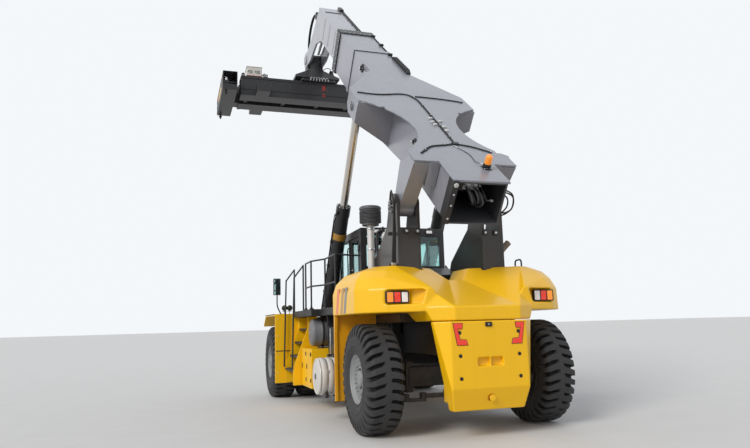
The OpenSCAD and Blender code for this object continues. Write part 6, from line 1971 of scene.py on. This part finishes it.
@dataclass(frozen=True)
class CabDress:
    """The cab's seals, wipers, guards, handles and roof, and the seat and the controls inside it."""

    back: float = 2.2
    half: float = 0.87
    floor: float = 2.04

    def seal(self, piece: Piece, corners: Sequence[Sequence[float]], wide: float = 0.022,
             deep: float = 0.012) -> None:
        """Runs a rubber strip round a window, through its corners.

        Args:
            piece: what it is added to.
            corners: the window's corners in order.
            wide: the strip's width.
            deep: its thickness.
        """
        p = np.asarray(corners, float)
        middle = p.mean(axis=0)
        out = unit(np.cross(p[1] - p[0], p[2] - p[1]))
        for a, b in zip(p, np.roll(p, -1, 0)):
            piece.block((a + b) / 2, b - a, out, (np.linalg.norm(b - a) + wide, wide, deep), 0.003, HOSE)
            piece.block(a + 0.4 * wide * unit(middle - a), b - a, out, (wide, wide, 1.3 * deep), 0.004, HOSE)

    def outside(self, shop: Workshop) -> None:
        """Adds seals, wipers, mirrors' stays, lamps, handles and the roof's guard."""
        piece = Piece("cab_fittings", "chassis")
        b, h = self.back, self.half
        self.seal(
            piece, [(b - 0.004, -0.77, 2.72), (b - 0.004, 0.77, 2.72), (b - 0.004, 0.77, 3.33),
                    (b - 0.004, -0.77, 3.33)])
        self.seal(piece, [(2.32, -0.74, 3.484), (3.69, -0.74, 3.484), (3.69, 0.74, 3.484), (2.32, 0.74, 3.484)])
        for y in (h + 0.004, -h - 0.004):
            self.seal(piece, [(3.02, y, 2.45), (3.71, y, 2.45), (3.71, y, 3.33), (3.02, y, 3.33)])
        self.seal(
            piece, [(2.31, -h - 0.004, 2.52), (2.92, -h - 0.004, 2.52), (2.92, -h - 0.004, 3.33),
                    (2.31, -h - 0.004, 3.33)])
        for y in np.linspace(-0.62, 0.62, 6):
            piece.tube(np.array([(2.3, y, 3.515), (3.72, y, 3.515)]), 0.011, BLACK, 10)
        for x in (2.34, 3.0, 3.68):
            piece.slabs((x - 0.02, -0.7, 3.48), (x + 0.02, 0.7, 3.508), 0.004)
        for y in (-0.55, 0.55):
            piece.slabs((b - 0.03, y - 0.07, 3.372), (b + 0.004, y + 0.07, 3.448), 0.01, PLASTIC)
            piece.slabs((b - 0.036, y - 0.06, 3.382), (b - 0.026, y + 0.06, 3.438), 0.004, CLEAR)
        arm = bend([(b - 0.03, -0.1, 2.69), (b - 0.05, -0.1, 2.74), (b - 0.02, 0.22, 3.2)], 0.03)
        piece.tube(arm, 0.008, PLASTIC, 10)
        piece.block((b - 0.016, 0.2, 3.02), (0, 0.3, 1), AHEAD, (0.46, 0.014, 0.012), 0.002, HOSE)
        piece.turn(
            [(0, 0), (0.022, 0), (0.024, 0.004), (0.024, 0.03), (0, 0.034)], (b, -0.1, 2.68), BACK, PLASTIC, 24)
        for z in (2.45, 3.1):
            piece.slabs((2.955, h - 0.002, z - 0.02), (2.985, h + 0.03, z + 0.02), 0.004)
        piece.tube(
            bend([(2.97, h + 0.028, 2.38), (2.97, h + 0.055, 2.42), (2.97, h + 0.055, 3.13),
                  (2.97, h + 0.028, 3.17)], 0.03), 0.012, BLACK, 12)
        piece.tube(
            bend([(3.9, -h + 0.1, 3.4), (4.02, -h - 0.04, 3.36), (4.02, -h - 0.04, 3.24)], 0.05), 0.011, BLACK,
            10)
        piece.slabs((3.995, -h - 0.12, 2.98), (4.035, -h + 0.02, 3.26), 0.012, PLASTIC)
        piece.slabs((3.989, -h - 0.112, 2.99), (3.997, -h + 0.012, 3.25), 0.003, TEAL)
        piece.build(shop)
        door = Piece("door_fittings", "door")
        self.seal(
            door, [(2.386, h - 0.002, 2.42), (2.844, h - 0.002, 2.42), (2.844, h - 0.002, 3.25),
                   (2.386, h - 0.002, 3.25)], 0.02, 0.01)
        door.slabs((2.845, h + 0.02, 2.645), (2.885, h + 0.038, 2.755), 0.006, PLASTIC)
        door.slabs((2.7, h - 0.008, 2.655), (2.83, h + 0.012, 2.745), 0.006, PLASTIC)
        door.slabs((2.715, h + 0.012, 2.688), (2.815, h + 0.028, 2.708), 0.004, STEEL)
        door.bolts([(x, h + 0.01, z) for x in (2.34, 2.38) for z in (2.26, 3.09)], LEFT, 0.01, 0.008, STEEL)
        door.slabs((2.36, h - 0.008, 2.12), (2.87, h - 0.002, 2.34), 0.003)
        door.build(shop)

    def seat(self, shop: Workshop) -> None:
        """Sews the seat's cushion and back, each a crowned pad with channels and a welt, on a sprung base."""
        frame = Piece("seat_frame", "chassis")
        frame.slabs((2.72, -0.2, self.floor), (3.08, 0.2, self.floor + 0.05), 0.008)
        for i in range(6):
            z = self.floor + 0.055 + 0.036 * i
            w = 0.165 + 0.018 * (i % 2)
            frame.slabs((2.9 - w, -w, z), (2.9 + w, w, z + 0.034), 0.014, HOSE)
        frame.slabs((2.67, -0.225, 2.278), (3.1, 0.225, 2.385), 0.012, PLASTIC)
        for y in (-0.245, 0.245):
            frame.slabs((2.74, y - 0.012, 2.3), (2.98, y + 0.012, 2.42), 0.006, PLASTIC)
            frame.tube(
                bend([(2.64, y * 1.05, 2.42), (2.63, y * 1.1, 2.66), (2.7, y * 1.12, 2.7),
                      (2.98, y * 1.12, 2.71)], 0.05), 0.024, PLASTIC, 14)
        frame.slabs((2.545, -0.2, 2.42), (2.585, 0.2, 2.98), 0.012, PLASTIC)
        frame.build(shop, replaces=("cab_seat",))
        for name, at, along, up, size in (
            ("seat_cushion", (2.915, 0, 2.445), AHEAD, UP, (0.5, 0.5, 0.12)),
            ("seat_back", (2.652, 0, 2.775), (-0.19, 0, 1), (1, 0, 0.19), (0.6, 0.48, 0.11)),
            ("seat_headrest", (2.58, 0, 3.135), (-0.19, 0, 1), (1, 0, 0.19), (0.13, 0.28, 0.09)),
        ):
            self.pad(shop, name, np.array(at), along, up, size)

    def pad(
        self, shop: Workshop, name: str, at: np.ndarray, along: Sequence[float], up: Sequence[float],
        size: Sequence[float],
    ) -> None:
        """Makes one pad: a rounded form, crowned on top, with its sides pulled in between its corners.

        Args:
            shop: who paints it.
            name: the pad's name.
            at: its middle.
            along: its first direction.
            up: the way that it is crowned.
            size: along, across and up.
        """
        x, z = unit(along), unit(up)
        turned = np.stack([x, np.cross(z, x), z])
        v, u = np.meshgrid(
            np.linspace(-math.pi / 2, math.pi / 2, 41), np.linspace(-math.pi, math.pi, 128, endpoint=False),
            indexing="ij")
        flat = signed_power(np.cos(v), 0.28)
        p = np.stack(
            [flat * signed_power(np.cos(u), 0.32), flat * signed_power(np.sin(u), 0.32),
             signed_power(np.sin(v), 0.55)], axis=-1)
        pull = 1 - 0.035 * (1 - p[..., [1, 0]] ** 2)
        p[..., :2] = p[..., :2] * pull
        crown = (1 - 0.75 * p[..., 0] ** 2) * (1 - 0.75 * p[..., 1] ** 2)
        channel = sum(np.exp(-(((p[..., 0] - c) / 0.045) ** 2)) for c in (-0.5, -0.1, 0.3,
            0.62)) * (np.abs(p[..., 1]) < 0.66)
        side = np.exp(-(((np.abs(p[..., 1]) - 0.68) / 0.035) ** 2))
        top = np.clip(p[..., 2], 0, 1)
        p[..., 2] = np.where(
            p[..., 2] > 0, p[..., 2] * (0.72 + 0.42 * crown) - top * 0.16 * np.maximum(channel, side),
            p[..., 2] * 0.9)
        piece = Piece(name, "chassis")
        piece.grid(
            at + (p * np.asarray(size) / 2) @ turned, FABRIC, around=True, ends=True,
            hollow_shade=np.maximum(channel, side))
        made = piece.build(shop, smooth=60.0)
        a = np.linspace(-math.pi, math.pi, 97)
        welt = np.stack([signed_power(np.cos(a), 0.32), signed_power(np.sin(a), 0.32), 0 * a + 0.22], axis=-1)
        welt[:, :2] = welt[:, :2] * (1 - 0.035 * (1 - welt[:, [1, 0]] ** 2)) * 1.002
        rim = Piece(name + "_welt", "chassis")
        rim.tube(at + (welt * np.asarray(size) / 2) @ turned, 0.0045, PIPING, 8)
        rim.build(shop)

    def controls(self, shop: Workshop) -> None:
        """Builds the steering column and wheel, the side console with its stick and screen, and the pedals."""
        piece = Piece("cab_controls", "chassis")
        column = [(3.49, 2.04), (3.63, 2.04), (3.6, 2.68), (3.5, 2.72), (3.46, 2.66)]
        piece.plate(column, -0.14, 0.14, 1, 0.016, PLASTIC)
        tilt = math.radians(-28.0)
        axis = np.array([math.sin(tilt), 0.0, math.cos(tilt)])
        centre = np.array([3.44, 0.0, 2.77])
        _, u, v = across(axis)
        a = np.linspace(0, 2 * math.pi, 72, endpoint=False)[:, None]
        b = np.linspace(0, 2 * math.pi, 16, endpoint=False)[None, :]
        r = 0.18 + 0.016 * np.cos(b)
        level = 0.016 * np.sin(b) + 0 * a
        flat = centre + (r * np.cos(a))[..., None] * u + (r * np.sin(a))[..., None] * v
        ring = flat + level[..., None] * axis
        piece.grid(ring, HOSE, around=True, along=True)
        for turn in (math.pi / 2, math.pi * 7 / 6, math.pi * 11 / 6):
            out = math.cos(turn) * u + math.sin(turn) * v
            piece.block(centre + 0.1 * out, out, axis, (0.16, 0.032, 0.012), 0.004, PLASTIC)
        piece.turn(
            [(0, -0.02), (0.04, -0.02), (0.046, -0.01), (0.046, 0.012), (0.036, 0.02), (0, 0.024)], centre,
            axis, PLASTIC, 36)
        piece.turn([(0, 0), (0.032, 0), (0.028, 0.1), (0, 0.1)], centre - 0.11 * axis, axis, PLASTIC, 24)
        piece.turn(
            [(0, 0), (0.014, 0), (0.018, 0.02), (0.016, 0.04), (0, 0.045)], centre + 0.16 * u + 0.01 * axis,
            axis, PLASTIC, 16)
        piece.slabs((2.76, -0.47, self.floor), (3.2, -0.29, 2.6), 0.02, PLASTIC)
        piece.slabs((2.8, -0.46, 2.59), (3.16, -0.3, 2.655), 0.018, HOSE)
        piece.turn([(0, 0), (0.034, 0), (0.026, 0.02), (0.012, 0.03), (0.01, 0.09), (0.022, 0.1), (0.026, 0.15),
                    (0.02, 0.19), (0, 0.196)],
                   (3.13, -0.38, 2.595), (0.1, 0, 1), HOSE, 24)
        piece.block((3.24, -0.4, 2.86), (0.0, 1, 0), (-1, 0.25, 0.3), (0.24, 0.17, 0.035), 0.008, PLASTIC)
        piece.block((3.222, -0.397, 2.864), (0.0, 1, 0), (-1, 0.25, 0.3), (0.21, 0.14, 0.008), 0.002, TEAL)
        piece.tube(
            bend([(3.18, -0.42, 2.6), (3.26, -0.42, 2.72), (3.26, -0.41, 2.84)], 0.04), 0.01, PLASTIC, 10)
        for y in (-0.1, 0.1):
            piece.block((3.6, y, 2.1), (1, 0, 1.2), (-1.2, 0, 1), (0.16, 0.08, 0.014), 0.004, HOSE)
        piece.slabs((2.3, -0.78, self.floor - 0.001), (3.7, 0.78, self.floor + 0.008), 0.003, HOSE)
        piece.build(shop, replaces=("cab_console",))

    def build(self, shop: Workshop) -> None:
        """Dresses the cab inside and out."""
        self.outside(shop)
        self.seat(shop)
        self.controls(shop)


@dataclass(frozen=True)
class DriveDress:
    """The hood's slats and latches, the exhaust, the propeller shaft and the axles' bolts and hoses."""

    def hood(self, shop: Workshop) -> None:
        """Adds slats and latches to the hood, and builds the exhaust."""
        piece = Piece("hood_fittings", "chassis")
        for i in range(6):
            x = 1.305 + 0.1 * i
            piece.block((x + 0.02, 0, 2.585), LEFT, (0.5, 0, 1), (0.78, 0.045, 0.004), 0.001)
        for sign in (-1, 1):
            for i in range(7):
                piece.block(
                    (1.95, sign * 0.925, 1.897 + 0.07 * i), AHEAD, (0, sign, 0.6), (0.29, 0.034, 0.004), 0.001)
            for x in (0.86, 1.42):
                piece.slabs(
                    (x - 0.04, sign * 0.526 - 0.008, 2.1), (x + 0.04, sign * 0.526 + 0.008, 2.2), 0.004,
                    PLASTIC)
                piece.slabs(
                    (x - 0.006, sign * 0.534 - 0.006, 2.12), (x + 0.006, sign * 0.534 + 0.006, 2.18), 0.002,
                    STEEL)
            piece.slabs((0.74, sign * 0.522 - 0.004, 1.795), (1.74, sign * 0.522 + 0.004, 1.815), 0.002)
        piece.bolts([(x, y, 2.601) for x in (1.27, 1.64) for y in (-0.48, 0.48)], UP, 0.014, 0.01, STEEL)
        piece.turn(
            [(0, 0), (0.06, 0), (0.064, 0.006), (0.064, 0.022), (0.05, 0.03), (0, 0.032)], (1.98, 0.62, 2.419),
            UP, PLASTIC, 28)
        stack = bend([(0.33, -1.08, 2.498), (0.33, -1.08, 2.8), (0.33, -1.25, 2.96)], 0.09)
        piece.tube(stack, 0.0545, BURNT, 32)
        way = unit((0.0, -0.17, 0.16))
        piece.turn(
            [(0.044, -0.15), (0.0545, -0.004), (0.056, 0.004), (0.05, 0.005), (0.046, -0.004)],
            (0.33, -1.25, 2.96), way, BURNT, 32, True)
        piece.turn(rod(0.046, 0.002), np.array((0.33, -1.25, 2.96)) - 0.003 * way, way, HOSE, 32)
        for z in (2.52, 2.72):
            piece.turn(
                [(0.054, 0), (0.059, 0.002), (0.06, 0.006), (0.06, 0.026), (0.059, 0.03), (0.054, 0.032)],
                (0.33, -1.08, z), UP, STEEL, 32, True)
        piece.tube(
            bend([(0.22, -1.3, 2.5), (0.22, -1.3, 2.64), (0.02, -1.3, 2.64), (0.02, -1.3, 2.5)], 0.06), 0.014,
            BLACK, 12)
        piece.build(shop, replaces=("exhaust_pipe",))

    def axles(self, shop: Workshop) -> None:
        """Adds the shaft, the drive axle's bolts and the brake lines."""
        piece = Piece("axle_fittings", "chassis")
        a, b = np.array([2.62, 0.0, 1.12]), np.array([5.3, 0.0, 0.815])
        way = unit(b - a)
        piece.tube(np.stack([a + 0.12 * way, b - 0.12 * way]), 0.06, BLACK, 28)
        for end, sign in ((a, 1.0), (b, -1.0)):
            piece.turn(
                [(0, 0), (0.095, 0), (0.095, 0.018), (0.05, 0.024), (0.046, 0.1), (0.07, 0.12), (0.07, 0.15),
                 (0, 0.15)], end, sign * way, BLACK, 28)
            piece.bolts(piece.ring_of(8, 0.078, end + sign * 0.018 * way, way), sign * way, 0.011, 0.01, STEEL)
        piece.bolts(piece.ring_of(16, 0.262, (6.0, 0.262, 0.815), LEFT), LEFT, 0.016, 0.014, STEEL)
        piece.bolts(piece.ring_of(10, 0.128, (5.442, 0, 0.815), BACK), BACK, 0.014, 0.012, STEEL)
        for sign in (-1, 1):
            piece.hose(
                curve([(5.8, sign * 0.4, 0.99), (5.78, sign * 0.62, 1.03), (5.82, sign * 0.85, 1.01),
                       (5.86, sign * 1.05, 0.98)]), 0.01)
            piece.bolts([(6.0 + dx, sign * 0.55, 1.0 + 0.001) for dx in (-0.3, 0.3)], UP, 0.02, 0.016, STEEL)
        piece.build(shop)

    def build(self, shop: Workshop) -> None:
        """Dresses hood and axles."""
        self.hood(shop)
        self.axles(shop)


@dataclass
class Stage:
    """The pale floor, the soft lamps and the camera at the photograph's place."""

    camera_at: tuple[float, float, float] = (-14.3204, 4.2975, 1.6156)
    heading: float = -0.3138
    rise: float = 0.1592
    tilt: float = -0.0273
    lens: float = 30.08
    floor_reach: float = 400.0

    def camera(self) -> None:
        """Sets the camera by its heading, rise and tilt in radians."""
        y, p, t = self.heading, self.rise, self.tilt
        ahead = np.array([math.cos(p) * math.cos(y), math.cos(p) * math.sin(y), math.sin(p)])
        level = np.array([math.sin(y), -math.cos(y), 0.0])
        above = np.cross(level, ahead)
        right = math.cos(t) * level + math.sin(t) * above
        up = -math.sin(t) * level + math.cos(t) * above
        lens = bpy.data.cameras.new("camera")
        lens.lens, lens.sensor_width, lens.clip_end = self.lens, 36.0, 1000.0
        eye = bpy.data.objects.new("camera", lens)
        turned = Matrix(np.column_stack([right, up, -ahead]).tolist()).to_4x4()
        turned.translation = self.camera_at
        eye.matrix_world = turned
        bpy.context.scene.collection.objects.link(eye)
        bpy.context.scene.camera = eye

    def floor(self) -> None:
        """Lays a pale floor of trowelled concrete, with a faint cloudiness."""
        r = self.floor_reach
        mesh = bpy.data.meshes.new("floor")
        mesh.from_pydata([(-r, -r, 0), (r, -r, 0), (r, r, 0), (-r, r, 0)], [], [(0, 1, 2, 3)])
        made = bpy.data.materials.new("pale_floor")
        made.use_nodes = True
        w = Wiring(made.node_tree)
        shader = next(n for n in made.node_tree.nodes if n.type == "BSDF_PRINCIPLED")
        where = w.add("TexCoord").outputs["Object"]
        cloud = w.ramp(w.noise(where, 1.7, 6.0), 0.25, 0.75)
        made.node_tree.links.new(
            w.blend(cloud, (0.625, 0.612, 0.592, 1), (0.645, 0.632, 0.612, 1)), shader.inputs["Base Color"])
        shader.inputs["Roughness"].default_value = 0.85
        mesh.materials.append(made)
        floor = bpy.data.objects.new("floor", mesh)
        bpy.context.scene.collection.objects.link(floor)
        floor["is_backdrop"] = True

    def light(self) -> None:
        """Makes a bright even sky, seen as a plain backdrop, and one soft lamp from the left behind."""
        world = bpy.data.worlds.new("studio")
        bpy.context.scene.world = world
        world.use_nodes = True
        tree = world.node_tree
        tree.nodes.clear()
        w = Wiring(tree)
        height = w.add("SeparateXYZ", {0: w.add("TexCoord").outputs["Generated"]}).outputs[2]
        tint = w.blend(w.ramp(height, -0.1, 0.9), (0.98, 0.98, 0.98, 1.0), (0.84, 0.9, 1.0, 1.0))
        sky = w.add("Background", {"Color": tint, "Strength": 0.66})
        seen = w.add("Background", {"Color": (0.905, 0.93, 0.955, 1.0), "Strength": 1.0})
        path = w.add("LightPath").outputs
        rays = w.math(
            "MAXIMUM", path["Is Camera Ray"], w.math("MAXIMUM", path["Is Glossy Ray"],
             path["Is Transmission Ray"]))
        both = w.add("MixShader", {0: rays, 1: sky.outputs[0], 2: seen.outputs[0]})
        leave = w.add("OutputWorld")
        tree.links.new(both.outputs[0], leave.inputs[0])
        lamp = bpy.data.lights.new("key", "SUN")
        lamp.energy, lamp.angle, lamp.color = 2.0, math.radians(24.0), (1.0, 0.98, 0.95)
        key = bpy.data.objects.new("key", lamp)
        towards, right, above = across((-0.46, 0.7, 0.55))
        key.matrix_world = Matrix(np.column_stack([right, above, towards]).tolist()).to_4x4()
        bpy.context.scene.collection.objects.link(key)

    def build(self) -> None:
        """Sets up the camera, the floor and the light."""
        self.camera()
        self.floor()
        self.light()
        bpy.context.scene.view_settings.view_transform = "Standard"


PLAIN = {
    Finishes.cast: ("steer_axle", "steer_rod", "knuckle_left", "knuckle_right", "drive_axle", "engine_block"),
    Finishes.glass: ("cab_glass", "door_glass"),
    Finishes.black: ("handrails",),
}

REFINED = {
    "chassis_frame": (Finishes.black, 0.008),
    # The rear mudguards take the yellow's darker copy: painted shade.
    "rear_mudguards": (Finishes.shaded_dusty_yellow, 0.004),
    "boom_towers": (Finishes.tower_black, 0.008),
    "engine_hood": (Finishes.black, 0.008),
    "side_decks": (Finishes.walk, 0.006),
    "front_fenders": (Finishes.yellow, 0.008),
    "cab_shell": (Finishes.black, 0.012),
    "cab_door": (Finishes.black, 0.008),
    "head_hanger": (Finishes.black, 0.012),
    "spreader_rotator": (Finishes.black, 0.008),
    "spreader_frame": (Finishes.black, 0.008),
    "spreader_arm_left": (Finishes.black, 0.008),
    "spreader_arm_right": (Finishes.black, 0.008),
}


def box_of(corners: tuple) -> dict[str, list[float]]:
    """Returns a box's lowest and highest corner as plain lists."""
    return {"low": list(corners[0]), "high": list(corners[1])}


def main() -> dict:
    """Builds the whole machine in order.
    """
    logging.basicConfig(level=logging.INFO, format="%(message)s")
    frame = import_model()
    cad_box = box_of(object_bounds())
    Stage().build()
    shop = Workshop(frame)
    for finish, nodes in PLAIN.items():
        for node in nodes:
            shop.paint_node(node, finish)
    for node, (finish, edge) in REFINED.items():
        shop.refine(node, finish, edge=edge)
    for dress in (
        BoomDress(), RearDress(), IntakeDress(), LiftDress(1.0), LiftDress(-1.0), HeadDress(), SpreaderDress(),
        SideDress(),
        CabDress(), DriveDress(),
    ):
        dress.build(shop)
    shop.cast("counterweight", Finishes.yellow, cell=0.012, rounds=5)
    shop.cast("rear_body", Finishes.yellow, cell=0.015, rounds=5)
    for name, hand in (("left", 1.0), ("right", -1.0)):
        Wheel(0.0, REAR_TRACK, hand, False).build(
            shop, f"wheel_rear_{name}", f"tyre_rear_{name}", f"rim_rear_{name}")
        Wheel(WHEELBASE, FRONT_TRACK, hand, True).build(
            shop, f"wheels_front_{name}", f"tyres_front_{name}", f"rims_front_{name}",
            FRONT_TRACK - TYRE_WIDTH - TWIN_GAP)
    return cad_box


if __name__ == "__main__":
    frame_box = main()
